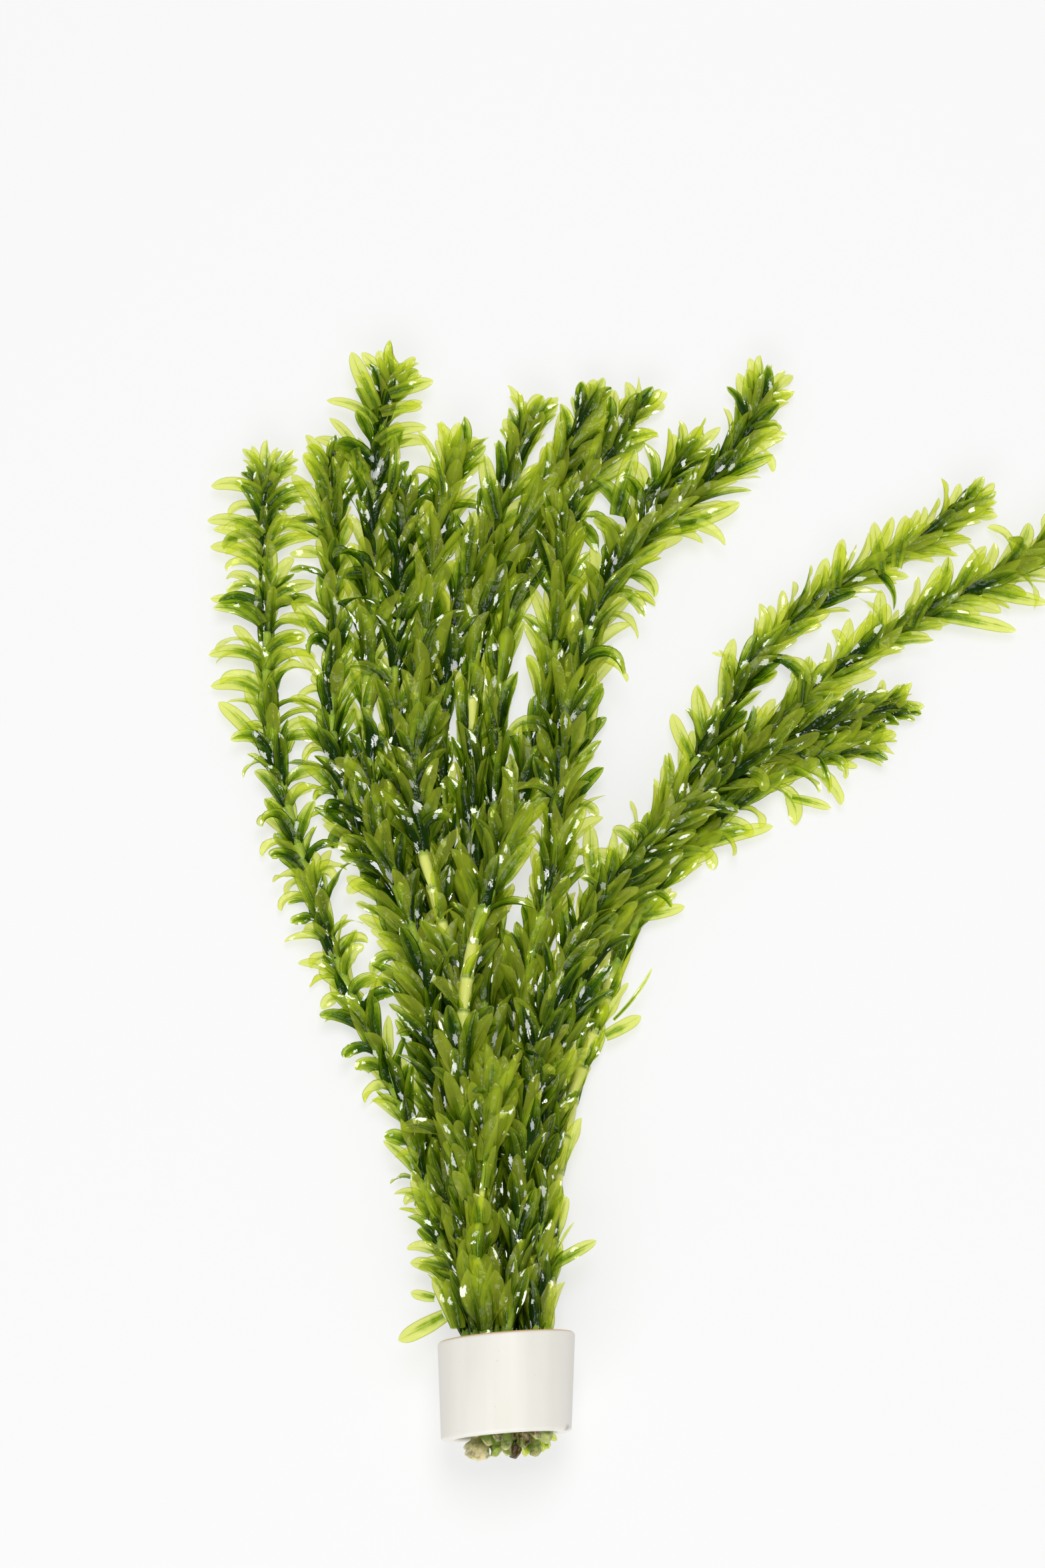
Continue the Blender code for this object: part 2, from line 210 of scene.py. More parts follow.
# How dark a leaf is: waves along the shoot, the spread, steps between neighbours, painted light on side
# leaves in the open and painted shade near the ring.
TONE_ADDED = 0.04
TONE_WAVE = (0.14, 0.16, 1.7)
TONE_SPREAD = 0.33
TONE_STEPS = (-0.75, -0.35, 0.0, 0.1, 0.3)
INNER_STEPS = 0.8
# Painted light: side leaves that stand in the open are painted lighter, and less so towards the tip.
OPEN_PAINTED_LIGHT = 0.42
YOUNG_PAINTED_LIGHT_LESS = 0.6
TIP_PALER = 0.14
# Painted shade: leaves are painted darker near the ring, starting at y = 78 mm and fully so 30 mm lower.
RING_PAINTED_SHADE = 0.14
PAINTED_SHADE_BELOW = (78.0, 30.0)

# Colours of a leaf, young, middle and mature: its skin, its glow against the light, its clear tint.
LEAF_SKIN = ((0.60, 0.72, 0.05, 1.0), (0.165, 0.26, 0.004, 1.0), (0.010, 0.038, 0.0003, 1.0))
LEAF_GLOW = ((0.95, 0.99, 0.17, 1.0), (0.31, 0.51, 0.01, 1.0), (0.034, 0.13, 0.0004, 1.0))
LEAF_TINT = ((0.96, 0.99, 0.36, 1.0), (0.45, 0.66, 0.04, 1.0), (0.16, 0.38, 0.004, 1.0))
# The colour of the dark outline painted along a leaf's edge as shade.
LEAF_OUTLINE_SHADE = (0.10, 0.16, 0.01, 1.0)
STEM_LIGHT = (0.42, 0.52, 0.06, 1.0)
STEM_DEEP = (0.20, 0.33, 0.02, 1.0)
STEM_BARE = (0.72, 0.75, 0.19, 1.0)
STEM_KNOT = (0.12, 0.24, 0.02, 1.0)
STEM_END_PALE = (0.84, 0.72, 0.40, 1.0)
STEM_END_DARK = (0.085, 0.045, 0.012, 1.0)
CLAY_SHADE = (0.75, 0.725, 0.65, 1.0)
CLAY_LIGHT = (0.79, 0.77, 0.71, 1.0)
CLAY_SPECK = (0.35, 0.34, 0.33, 1.0)
CLAY_STREAK = (0.86, 0.84, 0.78, 1.0)
CLAY_RIM = (0.72, 0.40, 0.15, 1.0)
CLAY_SMUDGE = (0.30, 0.26, 0.22, 1.0)

# Ranges as `stretch` takes them: a value from one number to the next becomes a share, or a number
# between the last two. The first six change a leaf's age over it, and with it its green.
VEIN_STREAKS = (0.3, 0.7, -0.32, 0.32)
BLOTCHES = (0.3, 0.7, -0.16, 0.16)
SIDES_PALER = (0.0, 0.9, 0.28, -0.34)
# Painted shade: a leaf is painted darker towards its base, where it lies in the shade by the stem.
BASE_PAINTED_SHADE = (0.0, 0.55, 0.32, 0.0)
# Painted shade: a dark rim at the leaf's edge.
EDGE_PAINTED_SHADE = (0.84, 0.98, 0.0, 0.4)
LEAF_TIP_PALER = (0.4, 1.0, 0.05, -0.45)
RIB = (0.02, 0.10, 0.3, 0.0)
# Painted shade: a dark outline along the very edge, in the outline's colour.
EDGE_PAINTED_OUTLINE = (0.86, 0.97, 0.0, 0.75)
SKIN_SHARE = (0.0, 1.0, 0.45, 0.7)
OPAQUE_SHARE = (0.0, 1.0, 0.46, 0.84)
KNOTS_SHOW = (0.15, 0.9, 0.0, 0.85)
SPECKS_SHOW = (0.74, 0.78, 0.0, 0.5)
STREAKS_SHOW = (0.4, 0.62, 0.0, 0.3)
RIM_ALONG = (0.01115, 0.01135)
RIM_OUTSIDE = (0.0145, 0.0147)
SMUDGE_FADES = (0.0014, 0.0026, 0.6, 0.0)
POOL_LEVEL = (0.5, 0.52)
STEM_POOLS = (0.63, 0.64)

# Gains and shifts of the noise on the cut end and of how unsure its freshness is, and how much of its
# bare colour a stem shows.
STAIN = (4.2, -2.2)
PATCHES = (3.4, -1.7)
UNSURE = (-1.5, 1.5)
BARE_SHARE = 0.85

# Where patterns lie: how a leaf's own place (across, along, luck) and the ring's streaks are drawn out,
# how far the noise shifts a pool, the rim's slant with the height, and the smudge.
VEINS_DRAWN = (11.0, 1.0, 40.0)
POOLS_DRAWN = (2.0, 6.0, 90.0)
POOL_SHIFT = (1.2, 1.2, 0.0)
STREAKS_DRAWN = (1.0, 0.08, 0.15)
RIM_SLANT = 0.038
SMUDGE_PLACE = (0.0136, -0.0098, 0.0195)
SMUDGE_WAVES = 0.002

# Water: how it mirrors, how large and how rare its pools are, and how much they shine.
WATER_IOR = 1.33
WATER_ROUGHNESS = 0.06
SHEEN = 0.6
STRONGEST_SHEEN = 0.13
POOL_SHINE = 0.12
POOL_SIZE = (0.5, 0.35)
POOL_RARITY = (-0.115, 0.985)
POOL_SHINES = (0.8 * POOL_SHINE, 0.2 * POOL_SHINE)

# The Mix node's sockets go by number, because each kind of value has its own under the same names:
# the two values and the result.
MIX_SOCKETS = {"VECTOR": (4, 5, 1), "RGBA": (6, 7, 2)}

# Each shoot: `slot` is its place (x, z) in the bore and `cut` its cut end's y. `opening` has the angles
# in degrees at which its leaves leave the stem and end, and `hug` says how late they bend outwards.
# `leaf` is their length and width, `gap` the distance between whorls. `curled` is the chance that an
# outer leaf curls back, `curl` such leaves' size, `petal` the length of the crown's leaves as a share.
# `stem` is the stem's radius, `butt` that of a thick cut end, and `end` how dark and fresh that end is.
# `tone` is how dark the leaves are, partly their own tone and partly painted shade, as the shoots that lie
# under others are set darker; `pale` is how much less so at the tip, and `painted_shade` how much darker
# they are painted near the ring, as shade. The stem shows bare between the `bare` values of y, and between
# those of `slim` the leaves open only to a share. `route` goes from the ring to the tip.
SHOOTS = {
    "shoot_far_left": dict(
        slot=(-8.6, 15.2), cut=-9.5, opening=(14, 66), hug=1.2, leaf=(12.5, 3.6), gap=4.8, curled=0.85,
        pale=-0.1, stem=1.35, tone=0.6, route=[(-13, 29, 13), (-17, 41, 10), (-21, 59, 7), (-28, 75, 5),
        (-36, 90, 5), (-43, 109, 5), (-49, 127, 5), (-54, 145, 5), (-57, 162, 5), (-57, 182, 5),
        (-58, 204, 5), (-58, 220, 6)]),
    "shoot_left": dict(
        slot=(-6.45, 11.45), cut=-16, end=(0, 0), butt=2.9, opening=(13, 62), hug=1.2, leaf=(13, 3.7),
        gap=4.8, curled=0.6, stem=1.3, tone=0.62, route=[(-12, 31, 9), (-15, 53, 6), (-17, 75, 5),
        (-21, 95, 5), (-26, 109, 5), (-33, 125, 5), (-39, 138, 5), (-42, 154, 5), (-41, 171, 5),
        (-42, 192, 5), (-42, 209, 5), (-42, 222, 6)]),
    "shoot_tallest": dict(
        slot=(-6.45, 18.95), cut=-11.5, end=(0.8, 0.2), opening=(12, 60), leaf=(14.5, 4), gap=4.7,
        curled=0.25, petal=0.62, stem=1.35, tone=0.56, bare=[(150, 166)], route=[(-10, 29, 18),
        (-12, 51, 15), (-14, 73, 12), (-17, 92, 11), (-23, 108, 9), (-28, 123, 8), (-32, 136, 8),
        (-33, 153, 8), (-33, 173, 8), (-32, 195, 8), (-32, 213, 8), (-31, 229, 7), (-28, 244, 7)]),
    "shoot_under_tallest": dict(
        slot=(-4.3, 7.7), cut=-12.5, opening=(12, 58), leaf=(14, 3.9), gap=6, curled=0.25, stem=1.2,
        tone=0.8, route=[(-9, 31, 6), (-10, 53, 5), (-12, 75, 5), (-15, 95, 5), (-19, 112, 5),
        (-24, 127, 4), (-26, 142, 4), (-27, 159, 4), (-26, 179, 4), (-25, 199, 4), (-24, 213, 5)]),
    "shoot_left_middle": dict(
        slot=(-4.3, 15.2), cut=-13, opening=(11, 50), hug=1.2, leaf=(14.5, 4), gap=4.7, curled=0.12,
        stem=1.3, tone=0.47, bare=[(98, 124)], route=[(-7, 32, 14), (-8, 51, 14), (-9, 73, 14),
        (-11, 91, 14), (-14, 104, 13), (-18, 117, 12), (-22, 133, 10), (-22, 148, 9), (-20, 170, 8),
        (-19, 188, 8), (-17, 204, 8), (-14, 216, 7), (-12, 225, 7)]),
    "shoot_middle_low": dict(
        slot=(-2.15, 11.45), cut=-15, end=(0.5, 0.8), opening=(11, 50), hug=1.2, leaf=(14.5, 4), gap=6,
        curled=0.12, stem=1.2, tone=0.66, slim=[(124, 156, 0.45)], route=[(-5, 32, 10), (-6, 52, 8),
        (-7, 74, 8), (-9, 94, 7), (-12, 114, 6), (-15, 130, 5), (-16, 151, 5), (-15, 171, 5),
        (-12, 187, 5), (-6, 199, 6), (-2, 208, 7), (1, 218, 7), (3, 226, 7), (5, 233, 7)]),
    "shoot_middle_upper": dict(
        slot=(0, 15.2), cut=-14, end=(0.1, 0.62), opening=(8, 42), leaf=(16.5, 4.4), gap=4.8, curled=0.05,
        petal=0.5, stem=1.35, tone=0.46, bare=[(150, 166)], slim=[(104, 178, 0.45)], route=[(-3, 31, 15),
        (-4, 51, 14), (-5, 73, 13), (-6, 96, 13), (-7, 115, 13), (-8, 133, 12), (-8, 154, 12),
        (-8, 173, 12), (-6, 188, 12), (0, 200, 12), (7, 211, 11), (12, 220, 9), (17, 229, 8),
        (20, 237, 8)]),
    "shoot_middle_under": dict(
        slot=(0, 7.7), cut=-14.5, opening=(9, 48), leaf=(15.5, 4.2), gap=6, curled=0.08, petal=0.55,
        stem=1.2, tone=0.6, slim=[(100, 182, 0.5)], route=[(-2, 33, 7), (-2, 53, 6), (-2, 74, 6),
        (-3, 98, 6), (-4, 117, 6), (-3, 135, 6), (-3, 154, 6), (-2, 172, 6), (1, 188, 7), (7, 201, 7),
        (15, 212, 7), (21, 220, 7), (26, 228, 7), (31, 236, 7)]),
    "shoot_yellow_stem": dict(
        slot=(-2.15, 18.95), cut=-12.5, end=(0.9, 0.3), opening=(10, 50), leaf=(14.5, 4), gap=4.7,
        curled=0.1, stem=1.5, tone=0.5, bare=[(72, 104)], route=[(-7, 31, 20), (-8, 50, 21),
        (-10, 71, 21), (-10, 90, 21), (-7, 105, 20), (-3, 118, 19), (1, 128, 18), (5, 143, 16),
        (8, 155, 14), (11, 169, 12), (12, 182, 10), (12, 195, 8), (14, 207, 7)]),
    "shoot_behind_bend": dict(
        slot=(2.15, 11.45), cut=-15.5, end=(1, 0), opening=(11, 50), hug=1.2, leaf=(14.5, 4), gap=6,
        curled=0.12, stem=1.2, tone=0.66, route=[(2, 32, 10), (2, 52, 10), (3, 74, 10), (6, 94, 11),
        (9, 111, 11), (12, 125, 10), (14, 140, 9), (15, 155, 8), (17, 170, 6), (21, 184, 5), (25, 196, 5),
        (31, 208, 5), (38, 218, 5), (43, 225, 6)]),
    "shoot_bend_right": dict(
        slot=(4.3, 15.2), cut=-13.5, end=(1, 0.05), opening=(11, 46), leaf=(15, 4.1), gap=4.7,
        curled=0.12, stem=1.35, tone=0.5, slim=[(92, 126, 0.5)], route=[(4, 31, 15), (4, 51, 15),
        (3, 73, 15), (4, 93, 15), (8, 108, 15), (12, 126, 14), (12, 144, 13), (15, 162, 12),
        (19, 179, 11), (24, 191, 10), (31, 202, 9), (42, 211, 8), (51, 219, 8), (58, 229, 8),
        (61, 239, 8)]),
    "shoot_right_upper": dict(
        slot=(6.45, 11.45), cut=-15, end=(0.8, 0.5), opening=(12, 42), leaf=(14, 3.7), gap=4.2,
        curled=0.06, stem=1.2, tone=0.45, route=[(7, 32, 10), (7, 52, 8), (9, 72, 6), (13, 89, 5),
        (19, 105, 4), (26, 117, 4), (33, 128, 4), (40, 139, 4), (46, 149, 4), (52, 162, 4), (59, 174, 4),
        (69, 184, 4), (79, 192, 4), (90, 198, 5), (101, 204, 5), (110, 211, 6)]),
    "shoot_right_longest": dict(
        slot=(6.45, 18.95), cut=-12, end=(1, 0.3), opening=(12, 46), leaf=(14, 3.8), gap=4.2, curled=0.12,
        stem=1.25, tone=0.5, route=[(7, 31, 18), (8, 51, 16), (10, 71, 14), (15, 89, 12), (21, 105, 10),
        (28, 116, 9), (35, 126, 9), (44, 137, 9), (54, 149, 8), (66, 159, 7), (77, 170, 6), (89, 178, 5),
        (101, 186, 5), (114, 192, 5), (126, 198, 5), (133, 204, 6)]),
    "shoot_right_lower": dict(
        slot=(0, 22.7), cut=-11, opening=(12, 50), leaf=(13.5, 3.8), gap=4.2, curled=0.6, curl=0.75,
        petal=0.5, stem=1.3, tone=0.62, route=[(3, 30, 23), (3, 50, 22), (6, 70, 21), (10, 87, 20),
        (16, 103, 18), (25, 117, 17), (35, 128, 16), (45, 138, 15), (56, 146, 12), (68, 153, 10),
        (80, 158, 8), (92, 162, 7)]),
    "shoot_right_under": dict(
        slot=(8.6, 15.2), cut=-12.5, end=(0.1, 0.7), opening=(12, 50), leaf=(13.5, 3.8), gap=4.8,
        curled=0.5, curl=0.85, petal=0.5, painted_shade=0, stem=1.5, tone=0.25, bare=[(14, 96)],
        slim=[(14, 100, 0.25), (100, 124, 0.5)], route=[(10, 32, 14), (11, 52, 11), (16, 72, 8),
        (22, 88, 5), (26, 103, 4), (32, 114, 4), (40, 125, 4), (49, 134, 4), (60, 143, 4), (70, 148, 4),
        (79, 151, 5), (86, 154, 5)]),
    "shoot_short_front": dict(
        slot=(-4.3, 22.7), cut=-11, opening=(12, 38), hug=1.2, leaf=(14, 5.4), gap=4.4, curled=0,
        petal=0.9, painted_shade=0, stem=1.5, tone=0.2, bare=[(18, 44)], route=[(-7, 21, 24), (-7, 30, 25),
        (-6, 40, 26), (-5, 49, 26), (-4, 57, 26), (-3, 64, 27)]),
}

# Single leaves that stand out in the picture: from, to, in millimetres, width, how much they arch
# upwards in degrees, how far they sweep sideways, and how dark they are.
PLACED_LEAVES = {
    "shoot_far_left": [
        ((-14, 15.5, 19), (-24.1, 10.5, 13), 3.9, 12, 0.1, 0),
        ((-16.1, 19.9, 16), (-21.5, 21.2, 14), 2.4, 10, 0.2, 0.05),
        ((-11, 13, 18), (-16.5, 25, 15), 3.8, 16, -0.3, 0.35),
        ((-10.5, 12.5, 20), (-13.5, 24, 18), 3.8, 16, -0.2, 0.15),
        ((-59, 213.5, 7), (-71.7, 214.4, 3), 3.5, 14, -1.6, 0.05),
        ((-58.5, 203, 7), (-72.8, 205.3, 3), 3.4, 14, -1.7, 0.1),
        ((-58.5, 195.5, 7), (-72, 199.3, 3), 3.5, 14, -1.5, 0),
        ((-58, 181, 7), (-72.4, 185, 3), 3.2, 16, -2.1, 0.15),
        ((-58.5, 172, 6), (-71.5, 171.5, 2), 3.2, 16, -2, 0.1),
        ((-58.5, 164, 6), (-70.8, 164.2, 2), 3.3, 16, -1.8, 0.05),
        ((-58, 214, 7), (-49, 219.4, 4), 3.2, 14, 1.8, 0.3),
        ((-56.8, 211, 6), (-45.3, 214.8, 3), 3, 14, 1.8, 0.35),
        ((-57, 199, 6), (-45.2, 202.3, 3), 3.3, 14, 1.5, 0.1),
        ((-56.5, 186, 6), (-44.7, 190.2, 3), 3.2, 14, 1.6, 0.2),
        ((-56.5, 174, 6), (-47, 177, 3), 3.3, 14, 1.5, 0.1),
        ((-58, 152, 5), (-68.3, 162.4, 3), 3.8, 10, -0.2, 0.05)],
    "shoot_left": [
        ((-43, 212, 7), (-49.5, 224, 4), 3.4, 12, -0.7, 0.1),
        ((-43.5, 205, 7), (-52, 219, 4), 3.6, 12, -0.5, 0),
        ((-44, 176, 7), (-51.5, 187, 4), 3.6, 12, -0.6, 0.1)],
    "shoot_right_under": [
        ((8.7, 20.3, 16), (9.8, 12.2, 13), 2.2, 20, -0.7, 0.1),
        ((9.7, 27.1, 13), (20.3, 33.4, 10), 2.9, 10, 0.1, 0.3),
        ((9.3, 24.8, 14), (15.5, 37.6, 12), 0.8, 16, 0.5, 0.2),
        ((46.4, 127.4, 5), (62.3, 132.1, 3), 3.4, 8, 0.15, 0),
        ((31.4, 110, 5), (41.4, 112.8, 3), 2.9, 6, -0.1, 0),
        ((22.7, 81.6, 6), (31, 86.7, 3), 3.2, 6, -0.1, 0),
        ((24.6, 85.3, 6), (33.8, 97.8, 6), 0.9, 14, -0.4, 0.3),
        ((66.8, 138.8, 4), (76.1, 136.7, 2), 2.4, 8, 0.2, 0.1)],
    "shoot_tallest": [
        ((-31.5, 235, 9), (-37.7, 249.6, 7), 3.9, 10, 0.1, 0),
        ((-31.8, 231, 9), (-45.2, 235.1, 4), 2.6, 12, -2, 0.05),
        ((-36, 219, 9), (-46.9, 231.2, 4), 2.6, 14, -2.4, 0.1),
        ((-31, 226, 9), (-18.4, 228.6, 4), 3.2, 12, 1.8, 0.1),
        ((-30.5, 234, 8), (-20.5, 236.1, 4), 3.2, 10, 0.5, 0),
        ((-28.5, 238.5, 9), (-17.9, 242.5, 6), 3.6, 10, 0.1, 0.15),
        ((-34, 218.5, 8), (-47.9, 227, 3), 3.3, 12, -1.5, 0.05),
        ((-28, 213.5, 9), (-27.4, 228.6, 7), 2.6, 12, -0.4, 0.3)],
    "shoot_left_middle": [
        ((-9.7, 193.1, 9), (-7.8, 209.1, 7), 4, 10, 0.1, 0.3),
        ((-15.5, 213, 8), (-22.3, 229.8, 6), 1.9, 12, -0.8, 0.2)],
    "shoot_middle_low": [((-2.5, 207, 8), (-5.7, 223.8, 6), 4.2, 10, 0.1, 0.3)],
    "shoot_right_longest": [
        ((103, 183.4, 5), (120.9, 180.1, 3), 3.4, 8, 0.1, 0.1),
        ((96, 180, 7), (106, 194.5, 4), 3.2, 12, 0.6, 0.2),
        ((87.5, 175, 6), (88.8, 190, 4), 3.4, 12, -0.1, 0.05),
        ((107, 189, 6), (114.3, 200.9, 4), 3.4, 12, 0.3, 0.2),
        ((113, 189.5, 5), (128.5, 187, 3), 3.4, 8, 0, 0.1),
        ((69.5, 161.5, 7), (71.6, 173.3, 5), 3, 14, 0.2, 0.3)],
    "shoot_bend_right": [
        ((41, 205, 8), (55.6, 211.9, 4), 4.2, 10, -0.2, 0.15),
        ((18.6, 152, 8), (20.8, 167.4, 5), 3.8, 10, 0.1, 0),
        ((20.1, 172, 8), (22.7, 187.7, 6), 3.8, 10, 0.1, 0.1)],
    "shoot_right_lower": [((72.6, 148.5, 6), (75, 139.4, 3), 1.5, 20, 1.1, 0.4)],
    "shoot_behind_bend": [
        ((20, 118.1, 9), (19.4, 131.8, 6), 3.8, 14, 0.1, 0.15),
        ((26, 208, 7), (30.6, 225.2, 6), 4.4, 10, 0.1, 0.35)],
    "shoot_right_upper": [
        ((89.4, 193.6, 6), (87.8, 207.3, 3), 3.2, 10, 0.2, 0.05),
        ((92.6, 195.2, 6), (95.5, 209, 3), 3.4, 10, 0.1, 0),
        ((78.3, 190, 6), (80.2, 203.1, 3), 3, 10, 0.2, 0.05),
        ((51, 163, 5), (53.7, 177.9, 4), 3.4, 10, 0.2, 0),
        ((43.5, 148.4, 5), (39, 159.6, 3), 3.4, 10, 0.3, 0),
        ((47.4, 151.7, 5), (45.1, 166.8, 3), 3.4, 10, 0.5, 0.05),
        ((3.4, -11.2, 13), (4.2, -14.9, 9), 1.6, 14, 0.3, 0),
        ((4.6, -11.4, 12), (5.4, -14.3, 9), 1.9, 20, -0.3, 0.5),
        ((6, -11.4, 12), (6.3, -14.4, 9), 1.7, 20, -0.3, 0),
        ((7.2, -11.8, 12), (8.1, -13.9, 10), 1.8, 20, 0.4, 0.1),
        ((8.6, -11.2, 13), (9.5, -13.3, 11), 1.8, 20, -0.4, 0.3),
        ((8.2, -9.9, 15), (11.2, -11.6, 12), 1.6, 12, 0.3, 0.1),
        ((1.8, -11.7, 13), (2.6, -13.9, 11), 1.8, 20, 0.3, 0.8)],
}

def smooth_line(points, step):
    """Points every `step` along a Catmull-Rom curve through the given ones."""
    points = np.array(points, float)
    padded = np.vstack([2 * points[0] - points[1], points, 2 * points[-1] - points[-2]])
    fine = []
    for before, start, end, after in zip(padded, padded[1:], padded[2:], padded[3:]):
        for t in np.linspace(0.0, 1.0, CURVE_STEPS, endpoint=False):
            fine.append(0.5 * (2 * start + (end - before) * t
                               + (2 * before - 5 * start + 4 * end - after) * t ** 2
                               + (3 * start - before - 3 * end + after) * t ** 3))
    fine.append(points[-1])
    return resample(np.array(fine), step)


def resample(line, step):
    """The line again with its points evenly apart, as near to `step` as its length allows."""
    lengths = np.concatenate([[0.0], np.cumsum(np.linalg.norm(np.diff(line, axis=0), axis=1))])
    places = np.linspace(0.0, lengths[-1], max(2, round(lengths[-1] / step) + 1))
    return np.column_stack([np.interp(places, lengths, line[:, axis]) for axis in range(3)])


def settle(shoots):
    """Centre lines that keep their distance from each other and sink towards the surface."""
    lines = []
    for shoot in shoots.values():
        x, z = shoot["slot"]
        in_ring = [(x, shoot["cut"], z), (x, 0.0, z), (x, RING_LENGTH / 2.0, z)]
        lines.append(smooth_line(in_ring + shoot["route"], SAMPLE_STEP))
    sizes = [len(line) for line in lines]
    owner = np.repeat(np.arange(len(lines)), sizes)
    points = np.vstack(lines)
    traced = points.copy()
    free = np.clip((points[:, 1] - RING_EXIT) / BENDING_STARTS_OVER, 0.0, 1.0)
    grown = np.clip((points[:, 1] - RING_EXIT) / PITCH_GROWS_OVER, 0.0, 1.0)
    pitch = STEM_PITCH_AT_RING + (STEM_PITCH_OUTSIDE - STEM_PITCH_AT_RING) * grown
    others = owner[:, None] != owner[None, :]
    inner = np.ones(len(points), bool)
    inner[np.cumsum(sizes) - 1] = False
    inner[np.cumsum(sizes)[:-1]] = False
    inner[0] = False
    inside = np.where(inner)[0]
    for _ in range(SETTLE_ROUNDS):
        apart = points[:, None, :] - points[None, :, :]
        distance = np.sqrt((apart ** 2).sum(axis=2)) + 1e-9
        need = np.minimum(pitch[:, None], pitch[None, :])
        push = np.where(others & (distance < need), (need - distance) / distance * PUSH_APART, 0.0)
        move = (push[:, :, None] * apart).sum(axis=1)
        move[:, 2] -= SINK
        move[:, :2] = 0.5 * move[:, :2] + PULL_TO_ROUTE * (traced[:, :2] - points[:, :2])
        bend = np.zeros_like(points)
        bend[inside] = 0.5 * (points[inside - 1] + points[inside + 1]) - points[inside]
        move += STRAIGHTEN * bend
        points = points + free[:, None] * np.clip(move, -LARGEST_MOVE, LARGEST_MOVE)
        points[:, 2] = np.where(free > 0.0, np.maximum(points[:, 2], LOWEST_STEM), points[:, 2])
    return {name: points[owner == index] for index, name in enumerate(shoots)}


def frame_along(line):
    """Unit vectors along the line, to its side in the horizontal plane, and up from both."""
    ahead = np.gradient(line, axis=0)
    ahead /= np.linalg.norm(ahead, axis=1)[:, None]
    side = np.cross(ahead, (0.0, 0.0, 1.0))
    side /= np.linalg.norm(side, axis=1)[:, None]
    return ahead, side, np.cross(side, ahead)


def leaf_stations():
    """The places of a leaf's rows along it, closer together towards the tip."""
    return 1.0 - (1.0 - np.linspace(0.0, 1.0, LEAF_ROWS)) ** ROWS_CROWD


class Leaves:
    """Collects leaves by their measures and turns them all into one grid of points."""

    def __init__(self):
        self.rows = []

    def add(self, base, ahead, spoke, length, width, start, end, **more):
        leaf = dict(base=base, ahead=ahead, spoke=spoke, length=length, width=width, start=start, end=end,
                    hug=1.3, lie=0.8, cup=0.2, twist=0.0, ripple=0.1, phase=0.0)
        leaf.update(more)
        self.rows.append(leaf)

    def column(self, key):
        return np.array([leaf[key] for leaf in self.rows], float)

    def points(self):
        """Points (leaf, row, column, xyz) of every leaf, before anything presses on them."""
        along = leaf_stations()
        across = np.linspace(-1.0, 1.0, LEAF_COLUMNS)
        ahead = self.column("ahead")
        spoke = self.column("spoke")
        length = self.column("length")
        start = np.radians(self.column("start"))[:, None]
        end = np.radians(self.column("end"))[:, None]
        angle = start + (end - start) * along[None, :] ** self.column("hug")[:, None]
        wide = np.cross(ahead, spoke)
        run = np.cos(angle)[:, :, None] * ahead[:, None, :] + np.sin(angle)[:, :, None] * spoke[:, None, :]
        run += (self.column("bend")[:, None] * along[None, :])[:, :, None] * wide[:, None, :]
        run /= np.linalg.norm(run, axis=2)[:, :, None]
        steps = length[:, None, None] * np.diff(along)[None, :, None] * 0.5 * (run[:, 1:] + run[:, :-1])
        middle = np.concatenate([np.zeros((len(length), 1, 3)), np.cumsum(steps, axis=1)], axis=1)
        middle += self.column("base")[:, None, :]
        width_way, face_way = self.turned(along, run, wide)
        quarter_turn = 0.5 * math.pi * np.minimum(along / WIDEST_AT, 1.0)
        widening = BASE_WIDTH + (1.0 - BASE_WIDTH) * np.sin(quarter_turn)
        late = np.clip((along - WIDEST_AT) / (1.0 - WIDEST_AT), 0.0, 1.0) ** TIP_CLOSES_LATE
        outline = widening * (1.0 - TIP_CLOSES * late) ** TIP_ROUNDNESS
        half = 0.5 * self.column("width")[:, None] * outline[None, :]
        cup = self.column("cup")[:, None]
        cup = (BASE_CUP - cup) * (1.0 - along)[None, :] ** 2 + cup
        crease = across ** 2 - CREASE_DEPTH * np.exp(-((across / CREASE_WIDTH) ** 2))
        ripple = self.column("ripple")[:, None] * np.sin(
            along[None, :] * RIPPLE_COUNT + self.column("phase")[:, None]) * np.sin(math.pi * along)[None, :]
        lift = (cup * half)[:, :, None] * crease[None, None, :]
        lift += ripple[:, :, None] * (across ** 3)[None, None, :]
        lift += 0.5 * ripple[:, ::-1, None] * (across ** 2)[None, None, :]
        return (middle[:, :, None, :] + (half[:, :, None] * across[None, None, :])[..., None]
                * width_way[:, :, None, :] + lift[..., None] * face_way[:, :, None, :])

    def turned(self, along, run, wide):
        """The ways a leaf's width and its face point in each row, as it levels out and twists."""
        level = np.cross(run, (0.0, 0.0, 1.0))
        level /= np.linalg.norm(level, axis=2)[:, :, None] + 1e-6
        same = np.where((level[:, :1] * wide[:, None, :]).sum(axis=2, keepdims=True) < 0.0, -1.0, 1.0)
        lying = (self.column("lie")[:, None] * np.clip(along / LEVEL_FROM, 0.0, 1.0)[None, :])[:, :, None]
        width_way = (1.0 - lying) * wide[:, None, :] + lying * same * level
        width_way /= np.linalg.norm(width_way, axis=2)[:, :, None] + 1e-6
        face_way = np.cross(run, width_way)
        turn = (self.column("twist")[:, None] * along[None, :])[:, :, None]
        return (np.cos(turn) * width_way + np.sin(turn) * face_way,
                np.cos(turn) * face_way - np.sin(turn) * width_way)


def ramp(value, start, over):
    """0 up to the start, 1 from `over` further on, and even in between."""
    return min(1.0, max(0.0, (value - start) / over))


def between(low, high, share):
    return low + (high - low) * share


def bareness(shoot, y):
    """1 inside the stretches where the stem shows bare, fading to 0 at their ends."""
    fades = [np.clip(np.minimum(y - first, last - y) / BARE_FADE + 0.5, 0.0, 1.0)
             for first, last in shoot.get("bare", ())]
    return np.max(fades + [np.zeros_like(y)], axis=0)


